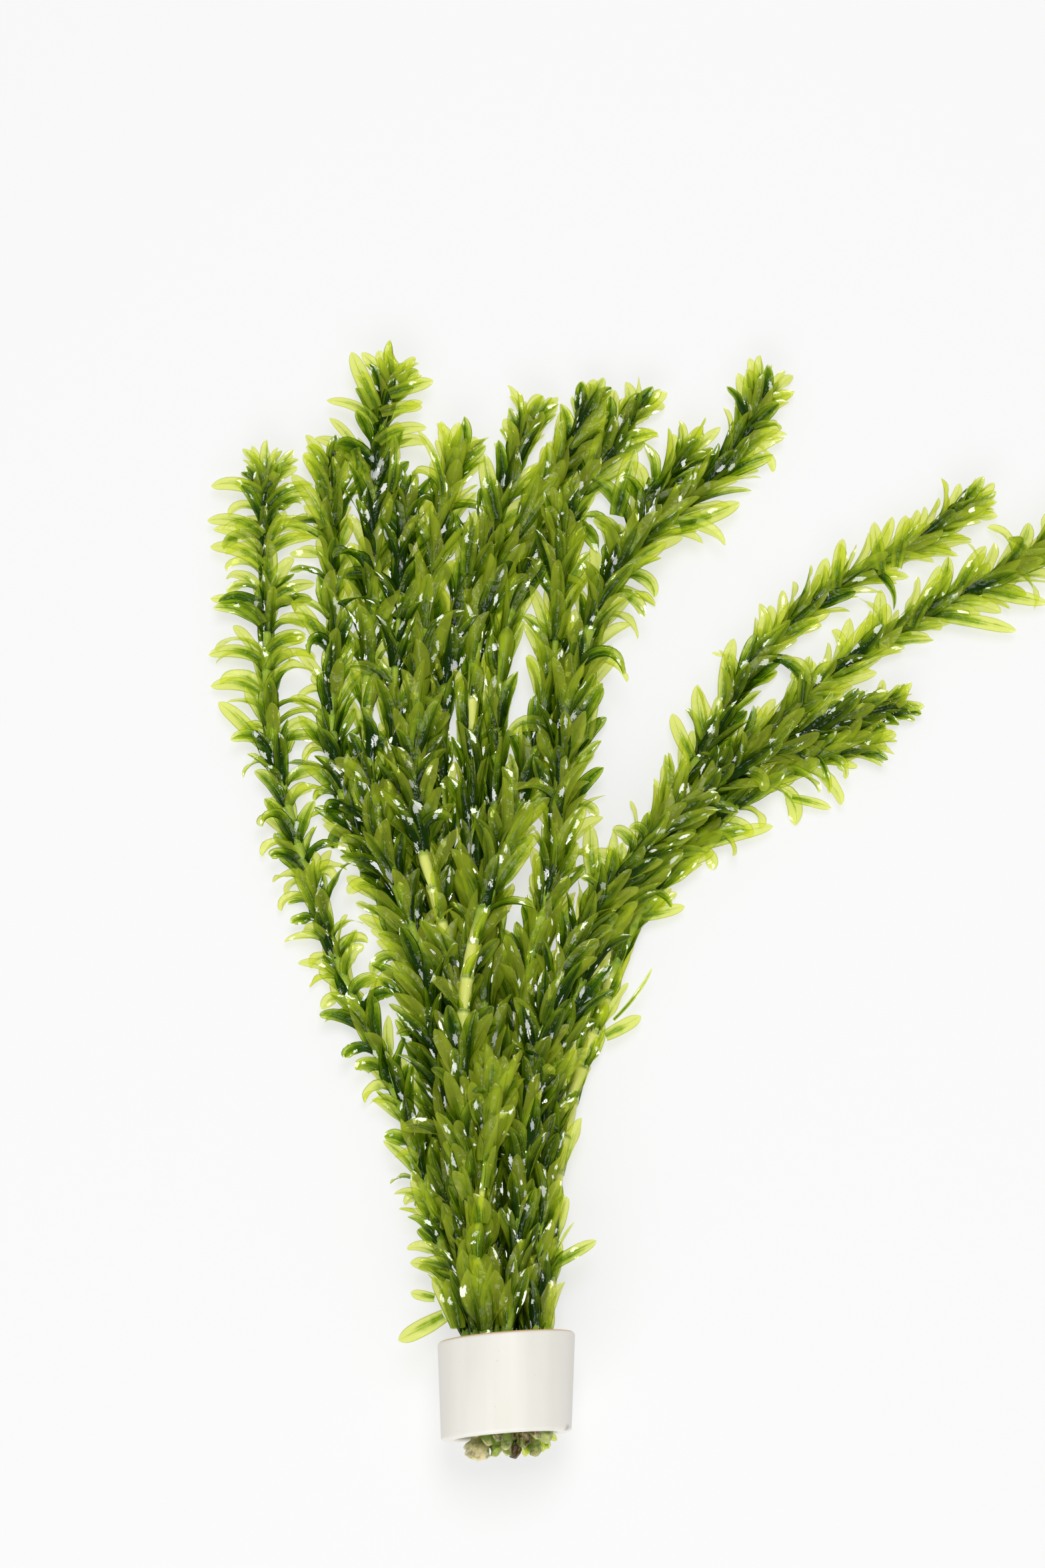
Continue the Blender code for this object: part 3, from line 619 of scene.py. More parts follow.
def whorl_places(shoot, dense):
    """Where the whorls sit along the stem: a gap apart low down, crowding together towards the tip."""
    length = DENSE_STEP * (len(dense) - 1)
    places = []
    along = FIRST_WHORL - shoot["cut"]
    while along < length - LAST_WHORL:
        places.append(along)
        crowded = min(1.0, TIP_GAP + (length - along) / GAP_GROWS_OVER)
        bare = float(bareness(shoot, dense[int(along / DENSE_STEP), 1])) > 0.5
        along += shoot["gap"] * crowded * (BARE_GAP if bare else 1.0)
    return places


def grow_leaves(name, shoot, lines, rng):
    """Every leaf of one shoot, whorl by whorl from the ring to the crown."""
    leaves = Leaves()
    dense = resample(lines[name], DENSE_STEP)
    ahead, side, up = frame_along(dense)
    length = DENSE_STEP * (len(dense) - 1)
    rest = np.vstack([resample(other, NEAR_STEP)[:, :2] for key, other in lines.items() if key != name])
    spin = rng.uniform(*ANY_SPIN)
    for along in whorl_places(shoot, dense):
        at = min(int(along / DENSE_STEP), len(dense) - 1)
        centre = dense[at]
        to_tip = length - along
        low = 1.0 - ramp(along, FIRST_WHORL - shoot["cut"], LOW_PART)
        slim = [share for first, last, share in shoot.get("slim", ()) if first < centre[1] < last]
        count = rng.choice(WHORL_LEAVES)
        spin += WHORL_TURN + rng.uniform(*WHORL_STRAYS)
        height, per_length, per_turn = TONE_WAVE
        whorl = SimpleNamespace(
            centre=centre, ahead=ahead[at], side=side[at], up=up[at],
            tight=(1.0 - LOW_CLOSES * low) * min(slim + [1.0]),
            young=max(0.0, 1.0 - to_tip / YOUNG_PART),
            grown=min(1.0, to_tip / GROWN_FROM),
            crown=max(0.0, 1.0 - to_tip / CROWN_PART),
            bare=float(bareness(shoot, centre[1])) > 0.5,
            wave=height * math.sin(per_length * along + per_turn * spin))
        for index in range(count):
            angle = math.radians(spin + index * 360.0 / count + rng.uniform(*LEAF_STRAYS))
            grow_leaf(leaves, shoot, whorl, angle, rest, rng)
    return leaves


def grow_leaf(leaves, shoot, whorl, angle, rest, rng):
    """One leaf at its angle around the stem, unless it is one of the missing."""
    sheath = whorl.bare and math.sin(angle) > SHEATH_FROM
    outer = ramp(abs(math.cos(angle)), *OUTER)
    missing = MISSING + MISSING_AT_SIDE * outer
    if math.sin(angle) > ON_TOP_FROM and whorl.crown == 0.0:
        missing += MISSING_ON_TOP * (1.0 - outer)
    if rng.random() < (MISSING_ON_BARE if sheath else missing):
        return
    spoke = math.cos(angle) * whorl.side + math.sin(angle) * whorl.up
    beyond = (whorl.centre + LOOKED_OUT * spoke)[:2]
    in_open = ramp(math.sqrt(((rest - beyond) ** 2).sum(axis=1).min()), *OPEN)
    stray = STRAY_ANGLE * max(0.0, rng.random() - STRAY_FROM) / (1.0 - STRAY_FROM) * outer
    start, end = shoot["opening"]
    start *= between(INNER_START, 1.0, outer) + CROWN_START * whorl.crown
    start += rng.uniform(*START_STRAYS)
    end *= between(INNER_END, 1.0, outer) * between(CROWDED_END, 1.0, in_open)
    end = end * (1.0 - CROWN_CLOSES * whorl.crown) + rng.uniform(*END_STRAYS) + stray
    hug = shoot.get("hug", 1.15) * rng.uniform(*HUG_STRAYS)
    size = rng.uniform(*SIZE)
    tone = leaf_tone(shoot, whorl, outer, in_open, rng)
    if rng.random() < PLAIN_SWEEPS:
        sweep = rng.gauss(0.0, SWEEP_SPREAD)
    else:
        sweep = rng.choice((-1.0, 1.0)) * rng.uniform(*STRONG_SWEEP)
    cup = rng.uniform(*CUP)
    if rng.random() < DEEPLY_CUPPED + INNER_CUPPED * (1.0 - outer):
        cup = rng.uniform(*DEEP_CUP)
    lie = rng.uniform(*LIE)
    curls = rng.random() < shoot["curled"] * outer * between(CROWDED_CURLS, 1.0, in_open)
    if curls and whorl.crown == 0.0 and whorl.tight > TOO_TIGHT_TO_CURL:
        kind = CURLED if whorl.centre[1] > CURLED_LOW_BELOW else CURLED_LOW
        start, end, hug, size, lie = (rng.uniform(*span) for span in kind.values())
        size *= shoot.get("curl", 1.0)
    if sheath:
        start, end, size, tone = (rng.uniform(*span) for span in SHEATH.values())
    long, wide = shoot["leaf"]
    leaves.add(
        whorl.centre + ON_SKIN * shoot["stem"] * spoke, whorl.ahead, spoke,
        long * (shoot.get("petal", 0.7) * (1.0 - whorl.grown) + whorl.grown) * size,
        wide * between(CROWN_WIDTH, 1.0, whorl.grown) * (INNER_WIDTH - OUTER_NARROWS * outer)
        * rng.uniform(*WIDTH),
        start * whorl.tight, end * whorl.tight, hug=hug, bend=sweep,
        twist=rng.gauss(0.0, TWIST_SPREAD - OUTER_TWISTS_LESS * outer),
        lie=0.0 if sheath else lie * between(INNER_LIE, 1.0, outer), cup=cup,
        ripple=rng.uniform(*RIPPLE), phase=rng.uniform(*ANY_PHASE),
        tone=min(1.0, max(0.0, tone)), luck=rng.random())


def leaf_tone(shoot, whorl, outer, in_open, rng):
    """How dark a leaf is: painted lighter at the side where it stands in the open, as light coming through,
    and painted darker near the ring, as shade.
    """
    tone = shoot["tone"] + TONE_ADDED + whorl.wave - shoot.get("pale", TIP_PALER) * whorl.young
    tone += rng.gauss(0.0, TONE_SPREAD)
    tone += between(INNER_STEPS, 1.0, outer) * rng.choice(TONE_STEPS)
    # Painted light on side leaves in the open.
    tone -= OPEN_PAINTED_LIGHT * in_open * outer * (1.0 - YOUNG_PAINTED_LIGHT_LESS * whorl.young)
    # Painted shade on leaves near the ring.
    painted_shade_from, over = PAINTED_SHADE_BELOW
    return tone + shoot.get("painted_shade", RING_PAINTED_SHADE) * ramp(painted_shade_from - whorl.centre[1], 0.0, over)


def flatten(rise, radius):
    """Heights over the stem's middle, squeezed beyond its skin."""
    outside = np.maximum(np.abs(rise) - radius, 0.0)
    return np.sign(rise) * (np.minimum(np.abs(rise), radius) + WHORL_FLATNESS * outside)


def press(points, line, lines, name, radius):
    """Flattens a shoot's leaves about its stem, under the shoots above and over those below."""
    middle = points[:, :, LEAF_COLUMNS // 2, :].reshape(-1, 3)
    own = resample(line, NEAR_STEP)
    nearest = np.argmin(((middle[:, None, :2] - own[None, :, :2]) ** 2).sum(axis=2), axis=1)
    stem_height = own[nearest, 2].reshape(len(points), LEAF_ROWS, 1)
    points[..., 2] = stem_height + flatten(points[..., 2] - stem_height, radius)
    stem_height = own[nearest, 2]
    height = stem_height + flatten(middle[:, 2] - stem_height, radius)
    pressed = height
    for other, other_line in lines.items():
        if other == name:
            continue
        stems = resample(other_line, NEAR_STEP)
        apart = np.sqrt(((middle[:, None, :2] - stems[None, :, :2]) ** 2).sum(axis=2))
        closest = np.argmin(apart, axis=1)
        reach = apart[np.arange(len(middle)), closest]
        there = stems[closest, 2]
        bulge = np.sqrt(np.maximum(BUNDLE_RADIUS ** 2 - reach ** 2, 0.0))
        near = reach < BUNDLE_RADIUS
        above = near & (there > stem_height + LAYER_HEIGHT)
        below = near & (there < stem_height - LAYER_HEIGHT)
        pressed = np.where(above, np.minimum(pressed, there - bulge), pressed)
        pressed = np.where(below, np.maximum(pressed, there + bulge), pressed)
    points[..., 2] += (pressed - height).reshape(len(points), LEAF_ROWS, 1)
    return points


def lay_on_floor(points, luck):
    """Keeps leaves on the surface, each a hair's breadth above it, and none through it."""
    lowest = LEAF_FLOOR + FLOOR_SPREAD * luck[:, None, None]
    height = points[..., 2]
    given = lowest + FLOOR_GIVE * np.maximum(height - lowest, -DEEPEST_GIVE)
    points[..., 2] = np.maximum(np.where(height < lowest, given, height), LEAST_HEIGHT)
    return points


def stem_grid(shoot, line, places, rng):
    """Rings of points up the stem, swelling at each whorl, with each ring's place and knot strength.

    The cut end is ragged: out of round, and sliced at a slant.
    """
    dense = resample(line, STEM_STEP)
    ahead, side, up = frame_along(dense)
    along = STEM_STEP * np.arange(len(dense))

    def near_end(over):
        return np.clip(1.0 - along / over, 0.0, 1.0)[:, None]

    knots = np.zeros(len(dense))
    for place in places:
        knots = np.maximum(knots, np.exp(-(((along - place) / KNOT_LENGTH) ** 2)))
    reach, over = END_SKIN_FADES
    knots = np.maximum(knots, END_SKIN * np.clip(reach - along / over, 0.0, 1.0))
    thin = np.clip((along[-1] - along) / THIN_TIP_LENGTH, THIN_TIP, 1.0)
    radius = shoot["stem"] * thin * (1.0 + KNOT_SWELL * knots * np.clip(along / KNOTS_SWELL_OVER, 0.0, 1.0))
    butt = np.clip((BUTT_LENGTH + BUTT_NARROWS_OVER - along) / BUTT_NARROWS_OVER, 0.0, 1.0)
    radius = np.maximum(radius, shoot.get("butt", 0.0) * butt)
    turn = np.arange(STEM_SIDES) * 2.0 * math.pi / STEM_SIDES
    spokes = np.cos(turn)[None, :, None] * side[:, None, :] + np.sin(turn)[None, :, None] * up[:, None, :]
    ragged = RAGGED_EVERYWHERE + (1.0 - RAGGED_EVERYWHERE) * near_end(RAGGED_LENGTH)
    lumps = np.zeros((len(dense), STEM_SIDES))
    for height, lobes, winding, over in STEM_LUMPS:
        phase = rng.uniform(*ANY_PHASE)
        lumps += height * np.sin(lobes * turn[None, :] + winding * along[:, None] + phase) * near_end(over)
    slanted = near_end(SLANTED_LENGTH) * (1.0 + SLANT * np.cos(turn[None, :] - phase))
    rings = dense[:, None, :] + (radius[:, None] * (1.0 + ragged * lumps))[:, :, None] * spokes
    rings += slanted[:, :, None] * ahead[:, None, :]
    low_cap = [dense[0] + share * (rings[0] - dense[0]) - bulge * ahead[0] for share, bulge in CAP_RINGS]
    tip_cap = [dense[-1] + share * (rings[-1] - dense[-1]) + bulge * ahead[-1]
               for share, bulge in reversed(CAP_RINGS)]
    rings = np.concatenate([low_cap, rings, tip_cap])
    caps = len(CAP_RINGS)
    along = np.concatenate([np.full(caps, -1.0), along, np.full(caps, along[-1])])
    return rings, along, np.pad(knots, caps)


def grid_faces(first, rows, columns, closed):
    """Quads over a grid of points that starts at index `first`."""
    row = np.arange(rows - 1)[:, None] * columns
    column = np.arange(columns if closed else columns - 1)[None, :]
    after = (column + 1) % columns
    return np.stack([first + row + column, first + row + after,
                     first + row + columns + after, first + row + columns + column], axis=-1).reshape(-1, 4)


def make_mesh(name, vertices, quads, tones, slots, materials):
    """A smooth mesh from arrays, with the tones in a colour attribute."""
    mesh = bpy.data.meshes.new(name)
    mesh.vertices.add(len(vertices))
    mesh.vertices.foreach_set("co", (vertices * MM).astype(np.float32).ravel())
    mesh.loops.add(quads.size)
    mesh.loops.foreach_set("vertex_index", quads.astype(np.int32).ravel())
    mesh.polygons.add(len(quads))
    mesh.polygons.foreach_set("loop_start", np.arange(0, quads.size, 4, dtype=np.int32))
    mesh.update(calc_edges=True)
    mesh.polygons.foreach_set("material_index", slots.astype(np.int32))
    mesh.polygons.foreach_set("use_smooth", np.ones(len(quads), bool))
    attribute = mesh.color_attributes.new("tones", "FLOAT_COLOR", "POINT")
    attribute.data.foreach_set("color", tones.astype(np.float32).ravel())
    for material in materials:
        mesh.materials.append(material)
    mesh.validate()
    return link(name, mesh)


def link(name, data):
    """A new object in the scene."""
    item = bpy.data.objects.new(name, data)
    bpy.context.scene.collection.objects.link(item)
    return item


def build_shoot(name, shoot, lines, materials):
    """One dressed shoot: its stem and all its leaves in one mesh that stands for the solid."""
    rng = random.Random("leaves of " + name)
    line = lines[name]
    places = whorl_places(shoot, resample(line, DENSE_STEP))
    stem, along, knots = stem_grid(shoot, line, places, rng)
    rings, sides = stem.shape[:2]
    darkness, freshness = shoot.get("end", PLAIN_END)
    stem_tones = np.zeros((rings, sides, 4))
    stem_tones[..., 0] = knots[:, None]
    stem_tones[..., 1] = bareness(shoot, stem[..., 1].mean(axis=1))[:, None]
    stem_tones[..., 2] = darkness
    stem_tones[..., 3] = np.clip(freshness + np.maximum(along, 0.0) / END_FRESHENS_OVER, 0.0, 1.0)[:, None]
    leaves = grow_leaves(name, shoot, lines, rng)
    for extra in PLACED_LEAVES.get(name, ()):
        place_leaf(leaves, *extra)
    luck = leaves.column("luck")
    grid = lay_on_floor(press(leaves.points(), line, lines, name, shoot["stem"]), luck)
    leaf_tones = np.zeros((len(grid), LEAF_ROWS, LEAF_COLUMNS, 4))
    leaf_tones[..., 0] = leaves.column("tone")[:, None, None]
    leaf_tones[..., 1] = luck[:, None, None]
    leaf_tones[..., 2] = leaf_stations()[None, :, None]
    leaf_tones[..., 3] = np.linspace(0.0, 1.0, LEAF_COLUMNS)[None, None, :]
    stem_quads = grid_faces(0, rings, sides, True)
    one_leaf = grid_faces(0, LEAF_ROWS, LEAF_COLUMNS, False)
    starts = rings * sides + np.arange(len(grid)) * LEAF_ROWS * LEAF_COLUMNS
    leaf_quads = (starts[:, None, None] + one_leaf[None, :, :]).reshape(-1, 4)
    vertices = np.vstack([stem.reshape(-1, 3), grid.reshape(-1, 3)])
    tones = np.vstack([stem_tones.reshape(-1, 4), leaf_tones.reshape(-1, 4)])
    slots = np.concatenate([np.ones(len(stem_quads)), np.zeros(len(leaf_quads))])
    piece = make_mesh(name.replace("shoot", "leafy"), vertices, np.vstack([stem_quads, leaf_quads]),
                      tones, slots, materials)
    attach(piece, "root")
    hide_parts(name)


def place_leaf(leaves, start, end, width, arch, sweep, tone):
    """One leaf laid from one point to another, arching upwards and sweeping sideways in between."""
    start = np.array(start, float)
    chord = np.array(end, float) - start
    length = np.linalg.norm(chord)
    chord /= length
    side = np.cross(chord, (0.0, 0.0, 1.0))
    side /= np.linalg.norm(side)
    ahead = chord - 0.5 * sweep * side
    ahead /= np.linalg.norm(ahead)
    up = np.cross(side, ahead)
    leaves.add(start, ahead, up, length, width, arch, -arch, bend=sweep, tone=tone, luck=0.4)


def node(tree, kind, sockets, **settings):
    """A shader node with its settings made, and each socket set to a value or linked to an output."""
    item = tree.nodes.new("ShaderNode" + kind)
    for key, value in settings.items():
        setattr(item, key, value)
    for key, value in sockets.items():
        if isinstance(value, bpy.types.NodeSocket):
            tree.links.new(value, item.inputs[key])
        else:
            item.inputs[key].default_value = value
    return item


def new_material(name):
    material = bpy.data.materials.new(name)
    material.use_nodes = True
    material.node_tree.nodes.clear()
    return material, material.node_tree


def show(tree, surface):
    """Makes a shader the material's surface."""
    node(tree, "OutputMaterial", {"Surface": surface})


def maths(tree, operation, *values, **settings):
    return node(tree, "Math", dict(enumerate(values)), operation=operation, **settings).outputs[0]


def vector_maths(tree, operation, *values):
    """A Vector Math node's number for a length or distance, or else its vector."""
    item = node(tree, "VectorMath", dict(enumerate(values)), operation=operation)
    return item.outputs["Value" if operation in ("LENGTH", "DISTANCE") else "Vector"]


def combine(tree, x, y, z):
    return node(tree, "CombineXYZ", {"X": x, "Y": y, "Z": z}).outputs[0]


def mix(tree, factor, first, second, kind="RGBA"):
    """The first value where the factor is 0, and the second where it is 1."""
    one, other, result = MIX_SOCKETS[kind]
    item = node(tree, "Mix", {0: factor, one: first, other: second}, data_type=kind)
    return item.outputs[result]


def mix_shaders(tree, factor, first, second):
    return node(tree, "MixShader", {0: factor, 1: first, 2: second}).outputs[0]


def stretch(tree, value, low, high, to_low=0.0, to_high=1.0):
    """A value mapped from one range to another, and held inside it."""
    return node(tree, "MapRange", {
        "Value": value, "From Min": low, "From Max": high,
        "To Min": to_low, "To Max": to_high}).outputs["Result"]


def three_tones(tree, age, young, middle, mature):
    """A colour that goes from young over middle to mature as the age goes from 0 to 1."""
    younger = mix(tree, stretch(tree, age, 0.0, 0.5), young, middle)
    return mix(tree, stretch(tree, age, 0.5, 1.0), younger, mature)


def own_place(tree):
    return node(tree, "TexCoord", {}).outputs["Object"]


def noise(tree, scale, detail=2.0, roughness=0.5, distortion=0.0, place=None, output="Fac"):
    """Noise over the object, or over another place. On the object the scale is per metre."""
    return node(tree, "TexNoise", {
        "Vector": place or own_place(tree), "Scale": scale, "Detail": detail, "Roughness": roughness,
        "Distortion": distortion}).outputs[output]


def bump(tree, height, distance, strength=1.0):
    return node(tree, "Bump", {
        "Height": height, "Distance": distance, "Strength": strength}).outputs["Normal"]


def colour_parts(tree, colour):
    parts = node(tree, "SeparateColor", {"Color": colour})
    return [parts.outputs[name] for name in ("Red", "Green", "Blue")]


def add_water(tree, surface, pool, shine):
    """A thin mirror film over a surface: rippled with the leaf, and level where water has pooled.

    `pool` is 1 in the pools and 0 elsewhere. Only faces that lie nearly level hold one.
    """
    facing = node(tree, "NewGeometry", {}).outputs["Normal"]
    upright = node(tree, "SeparateXYZ", {0: facing}).outputs["Z"]
    pools = maths(tree, "MULTIPLY", pool, stretch(tree, maths(tree, "ABSOLUTE", upright), *POOL_LEVEL))
    rippled = bump(tree, noise(tree, scale=420.0, distortion=0.6), distance=0.0006)
    way = mix(tree, pools, rippled, combine(tree, 0.0, 0.0, 1.0), "VECTOR")
    film = node(tree, "BsdfGlossy", {"Roughness": WATER_ROUGHNESS, "Normal": way})
    fresnel = node(tree, "Fresnel", {"IOR": WATER_IOR})
    sheen = maths(tree, "MINIMUM", maths(tree, "MULTIPLY", fresnel.outputs[0], SHEEN), STRONGEST_SHEEN)
    strength = maths(tree, "MULTIPLY_ADD", pools, shine, sheen)
    show(tree, mix_shaders(tree, strength, surface, film.outputs[0]))


def leaf_material():
    """Thin wet leaf: tinted see-through, with veins, a green middle, pale sides, painted shade towards its
    base and a painted dark outline at its edge, and a film of water.
    """
    material, tree = new_material("waterweed_leaf")
    tones = node(tree, "VertexColor", {}, layer_name="tones")
    age, luck, along = colour_parts(tree, tones.outputs["Color"])
    signed = maths(tree, "MULTIPLY_ADD", tones.outputs["Alpha"], 2.0, -1.0)
    across = maths(tree, "ABSOLUTE", signed)
    place = combine(tree, signed, along, luck)
    veins = noise(tree, scale=1.6, place=vector_maths(tree, "MULTIPLY", place, VEINS_DRAWN))
    blotches = noise(tree, scale=380.0, detail=3.0, roughness=0.6)
    # Of these, base paints shade on the leaf's lower part near the stem, and edge paints a dark rim at its
    # edge.
    streaks, blotched, sides, base, edge, tip = (stretch(tree, value, *span) for value, span in (
        (veins, VEIN_STREAKS), (blotches, BLOTCHES), (across, SIDES_PALER),
        (along, BASE_PAINTED_SHADE), (across, EDGE_PAINTED_SHADE), (along, LEAF_TIP_PALER)))
    varied = maths(tree, "ADD", maths(tree, "ADD", age, streaks), maths(tree, "ADD", blotched, sides))
    varied = maths(tree, "ADD", varied, maths(tree, "ADD", base, edge))
    varied = maths(tree, "ADD", varied, tip, use_clamp=True)
    tint = three_tones(tree, varied, *LEAF_TINT)
    tint = mix(tree, stretch(tree, across, *RIB), tint, LEAF_TINT[-1])
    # A dark outline painted along the edge, in place of shade at the leaf's rim.
    tint = mix(tree, stretch(tree, across, *EDGE_PAINTED_OUTLINE), tint, LEAF_OUTLINE_SHADE)
    clear = node(tree, "BsdfTransparent", {"Color": tint})
    glow = node(tree, "BsdfTranslucent", {"Color": three_tones(tree, varied, *LEAF_GLOW)})
    skin = node(tree, "BsdfPrincipled", {
        "Base Color": three_tones(tree, varied, *LEAF_SKIN), "Roughness": 0.5, "Specular IOR Level": 0.0})
    body = mix_shaders(tree, stretch(tree, varied, *SKIN_SHARE), glow.outputs[0], skin.outputs[0])
    whole = mix_shaders(tree, stretch(tree, varied, *OPAQUE_SHARE), clear.outputs[0], body)
    add_water(tree, whole, *leaf_pools(tree, place, age))
    return material


def leaf_pools(tree, place, age):
    """Where water has pooled on a leaf, in jagged drops and more often on dark leaves, and its shine."""
    drawn = vector_maths(tree, "MULTIPLY", place, POOLS_DRAWN)
    jagged = noise(tree, scale=3.2, place=drawn, output="Color")
    shifted = vector_maths(tree, "MULTIPLY_ADD", jagged, POOL_SHIFT, drawn)
    cells = node(tree, "TexVoronoi", {"Vector": shifted, "Scale": 1.0})
    chance, width, brightness = colour_parts(tree, cells.outputs["Color"])
    chosen = maths(tree, "GREATER_THAN", chance, maths(tree, "MULTIPLY_ADD", age, *POOL_RARITY))
    inside = maths(tree, "LESS_THAN", cells.outputs["Distance"],
                   maths(tree, "MULTIPLY_ADD", width, *POOL_SIZE))
    return maths(tree, "MULTIPLY", chosen, inside), maths(tree, "MULTIPLY_ADD", brightness, *POOL_SHINES)


def stem_material():
    """Juicy yellow-green stem with darker rings where the whorls sit, wet like the leaves.

    Its cut end is cream to brown, and the fresh green sets in further up in patches.
    """
    material, tree = new_material("waterweed_stem")
    tones = node(tree, "VertexColor", {}, layer_name="tones")
    knot, pale, darkness = colour_parts(tree, tones.outputs["Color"])
    freshness = tones.outputs["Alpha"]
    base = mix(tree, noise(tree, scale=260.0, detail=3.0, roughness=0.6), STEM_LIGHT, STEM_DEEP)
    base = mix(tree, maths(tree, "MULTIPLY", pale, BARE_SHARE), base, STEM_BARE)
    base = mix(tree, stretch(tree, knot, *KNOTS_SHOW), base, STEM_KNOT)
    stain = maths(tree, "MULTIPLY_ADD", noise(tree, scale=330.0, detail=4.0, roughness=0.7), *STAIN)
    stained = maths(tree, "ADD", darkness, stain, use_clamp=True)
    dying = mix(tree, stained, STEM_END_PALE, STEM_END_DARK)
    patchy = maths(tree, "MULTIPLY_ADD", noise(tree, scale=600.0, detail=4.0, roughness=0.7), *PATCHES)
    unsure = maths(tree, "MULTIPLY_ADD", freshness, *UNSURE)
    fresh = maths(tree, "ADD", freshness, maths(tree, "MULTIPLY", patchy, unsure), use_clamp=True)
    skin = node(tree, "BsdfPrincipled", {
        "Base Color": mix(tree, fresh, dying, base), "Roughness": 0.3, "Specular IOR Level": 0.0,
        "Subsurface Weight": 0.15, "Subsurface Radius": (0.002, 0.0025, 0.0005), "Subsurface Scale": 1.0})
    add_water(tree, skin.outputs[0], stretch(tree, noise(tree, scale=330.0), *STEM_POOLS), POOL_SHINE)
    return material


def ceramic_material():
    """Off-white fired clay, softly shining, with faint clouds, fine specks and streaks along the ring.

    A thin warm line runs along the mouth's outer edge, and a small smudge sits at the foot.
    """
    material, tree = new_material("off_white_ceramic")
    place = own_place(tree)
    cloud = noise(tree, scale=90.0, detail=3.0, roughness=0.6)
    base = mix(tree, cloud, CLAY_SHADE, CLAY_LIGHT)
    base = mix(tree, stretch(tree, noise(tree, scale=900.0), *SPECKS_SHOW), base, CLAY_SPECK)
    streaks = noise(tree, scale=260.0, place=vector_maths(tree, "MULTIPLY", place, STREAKS_DRAWN))
    base = mix(tree, stretch(tree, streaks, *STREAKS_SHOW), base, CLAY_STREAK)
    corner = node(tree, "SeparateXYZ", {0: place}).outputs
    straight = maths(tree, "MULTIPLY_ADD", corner["X"], -math.tan(RING_SKEW), corner["Y"])
    straight = maths(tree, "MULTIPLY_ADD", corner["Z"], RIM_SLANT, straight)
    from_axis = vector_maths(tree, "MULTIPLY_ADD", place, (1.0, 0.0, 1.0),
                             (0.0, 0.0, -RING_MOUTH_RADIUS * MM))
    rim = maths(tree, "MULTIPLY", stretch(tree, straight, *RIM_ALONG),
                stretch(tree, vector_maths(tree, "LENGTH", from_axis), *RIM_OUTSIDE))
    base = mix(tree, rim, base, CLAY_RIM)
    smudge = vector_maths(tree, "DISTANCE", place, SMUDGE_PLACE)
    uneven = maths(tree, "MULTIPLY_ADD", noise(tree, scale=700.0), SMUDGE_WAVES, smudge)
    base = mix(tree, stretch(tree, uneven, *SMUDGE_FADES), base, CLAY_SMUDGE)
    skin = node(tree, "BsdfPrincipled", {
        "Base Color": base, "Roughness": 0.48, "Coat Weight": 0.1, "Coat Roughness": 0.3,
        "Normal": bump(tree, cloud, distance=0.0004, strength=0.5)})
    show(tree, skin.outputs[0])
    return material


def ring_outline():
    """The wall's cross-section, as (radius, along) points around its four rounded edges."""
    far = RING_LENGTH / 2.0 - EDGE_ROUNDING
    outline = []
    for radius, along, start in (
            (RING_MOUTH_RADIUS - EDGE_ROUNDING, far, 0.0),
            (RING_MOUTH_RADIUS - RING_WALL + EDGE_ROUNDING, far, 90.0),
            (RING_FOOT_RADIUS - RING_WALL + EDGE_ROUNDING, -far, 180.0),
            (RING_FOOT_RADIUS - EDGE_ROUNDING, -far, 270.0)):
        for angle in np.radians(start + np.linspace(0.0, 90.0, EDGE_POINTS)):
            outline.append((radius + EDGE_ROUNDING * math.cos(angle),
                            along + EDGE_ROUNDING * math.sin(angle)))
    return outline


def build_ring(material):
    """The ring again with round edges and a fine, slightly uneven wall, in place of its solid."""
    flat = math.cos(math.pi / RING_FACETS)
    rise = math.atan((RING_MOUTH_RADIUS - RING_FOOT_RADIUS) * flat / (RING_LENGTH - 2.0 * RING_EDGE))
    outline = ring_outline()
    vertices = []
    for step in range(RING_SEGMENTS):
        angle = step * 2.0 * math.pi / RING_SEGMENTS
        uneven = sum(depth * math.sin(count * angle + phase) for depth, count, phase in WALL_WAVES)
        for radius, along in outline:
            x = (radius + uneven) * math.cos(angle)
            z = (radius + uneven) * math.sin(angle)
            y = along * math.cos(rise) - z * math.sin(rise)
            z = along * math.sin(rise) + z * math.cos(rise)
            vertices.append((x, y + x * math.tan(RING_SKEW), z))
    vertices = np.array(vertices)
    vertices[:, 2] -= vertices[:, 2].min()
    quads = grid_faces(0, RING_SEGMENTS + 1, len(outline), True) % len(vertices)
    tones = np.ones((len(vertices), 4))
    piece = make_mesh("glazed_ring", vertices, quads, tones, np.zeros(len(quads)), [material])
    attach(piece, "root")
    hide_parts("ceramic_ring")


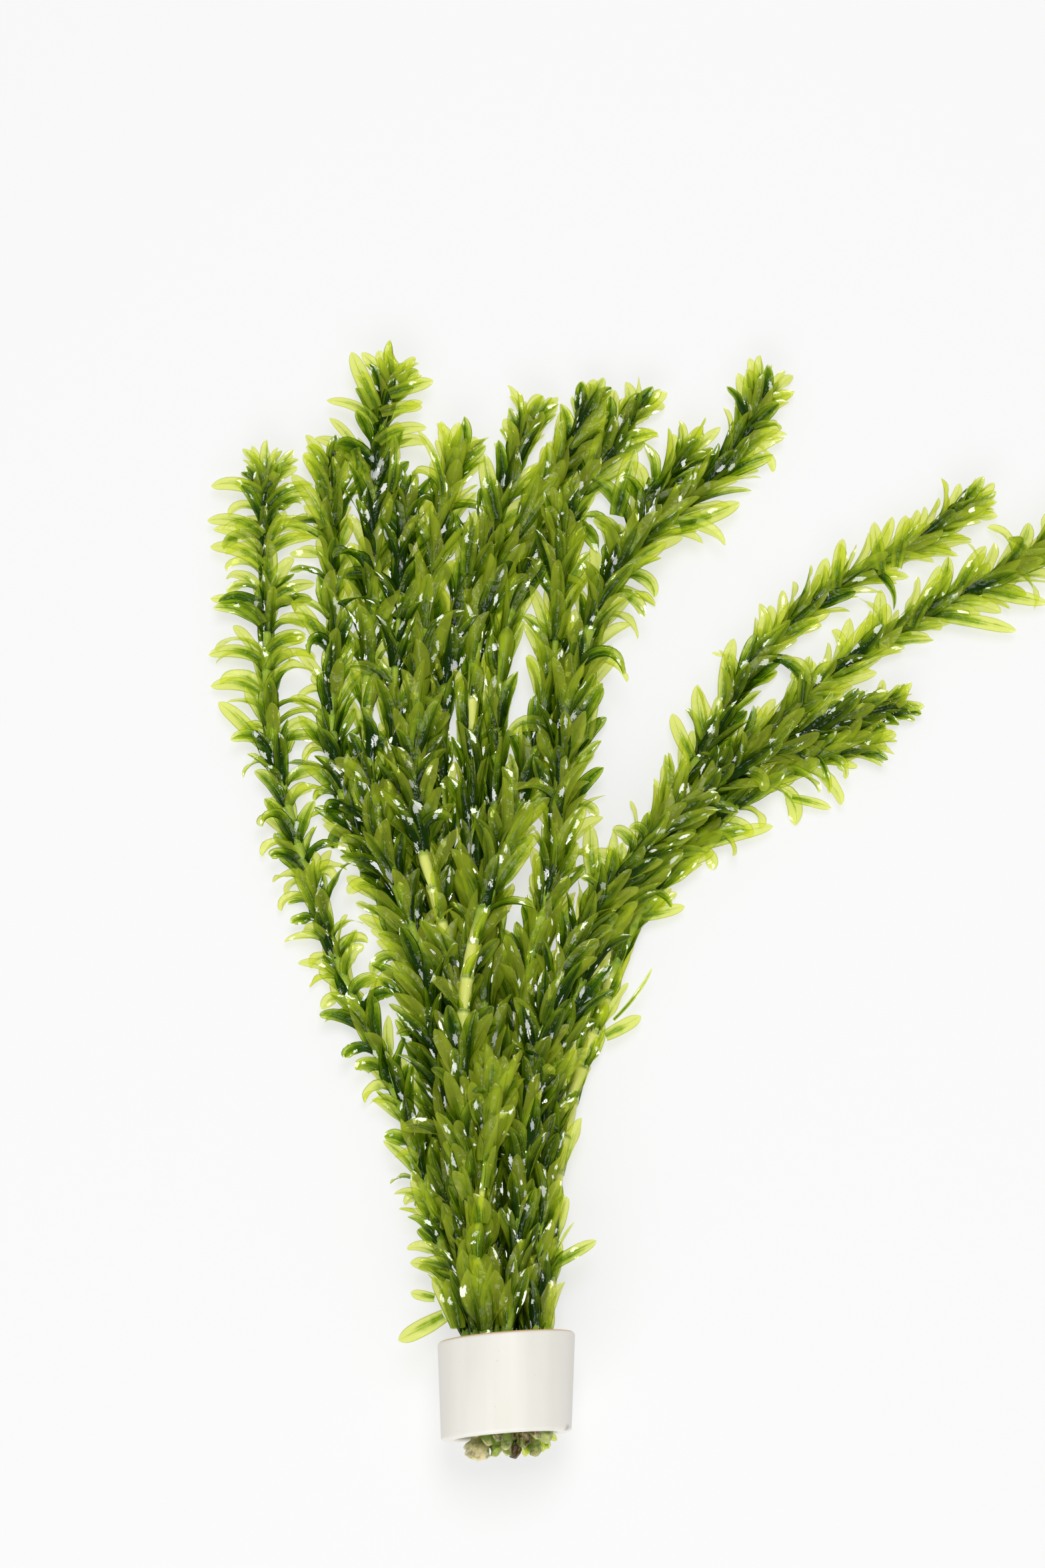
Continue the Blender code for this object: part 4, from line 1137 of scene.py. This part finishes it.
def build_floor():
    """The white surface that the bunch lies on."""
    mesh = bpy.data.meshes.new("floor")
    corners = [(x * FLOOR_REACH, y * FLOOR_REACH, 0.0) for x, y in ((-1, -1), (1, -1), (1, 1), (-1, 1))]
    mesh.from_pydata(corners, [], [(0, 1, 2, 3)])
    material, tree = new_material("white_surface")
    skin = node(tree, "BsdfPrincipled", {
        "Base Color": FLOOR_GREY, "Roughness": 0.8, "Specular IOR Level": 0.2,
        "Emission Color": WHITE, "Emission Strength": FLOOR_GLOW})
    show(tree, skin.outputs[0])
    mesh.materials.append(material)
    link("floor", mesh)


def area_light(name, place, aim, size, power):
    light = bpy.data.lights.new(name, "AREA")
    light.shape = "RECTANGLE"
    light.size, light.size_y = size
    light.energy = power
    item = link(name, light)
    item.location = place
    x, y, z = np.array(aim) - np.array(place)
    item.rotation_euler = (math.atan2(math.hypot(x, y), -z), 0.0, math.atan2(y, x) - math.pi / 2.0)


def light_and_camera():
    for softbox in SOFTBOXES:
        area_light(*softbox)
    world = bpy.data.worlds.new("studio")
    world.use_nodes = True
    world.node_tree.nodes["Background"].inputs["Color"].default_value = WHITE
    world.node_tree.nodes["Background"].inputs["Strength"].default_value = ROOM_LIGHT
    bpy.context.scene.world = world
    bpy.context.scene.view_settings.view_transform = "Standard"
    camera = bpy.data.cameras.new("camera")
    camera.sensor_fit = "VERTICAL"
    camera.sensor_height = SENSOR
    camera.lens = FOCAL_PIXELS / PICTURE_HEIGHT * SENSOR
    camera.clip_start = NEAREST_SEEN
    item = link("camera", camera)
    item.location = tuple(value * MM for value in CAMERA_PLACE)
    item.rotation_euler = (CAMERA_TILT, 0.0, 0.0)
    bpy.context.scene.camera = item


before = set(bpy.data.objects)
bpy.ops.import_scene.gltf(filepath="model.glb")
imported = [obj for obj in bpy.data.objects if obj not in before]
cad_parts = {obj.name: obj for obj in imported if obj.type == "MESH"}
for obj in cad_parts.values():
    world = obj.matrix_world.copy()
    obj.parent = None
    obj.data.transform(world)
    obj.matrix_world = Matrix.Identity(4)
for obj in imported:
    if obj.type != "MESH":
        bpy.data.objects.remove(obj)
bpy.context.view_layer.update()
light_and_camera()
build_floor()
build_ring(ceramic_material())
leaf_and_stem = [leaf_material(), stem_material()]
centre_lines = settle(SHOOTS)
for shoot_name, shoot_values in SHOOTS.items():
    build_shoot(shoot_name, shoot_values, centre_lines, leaf_and_stem)
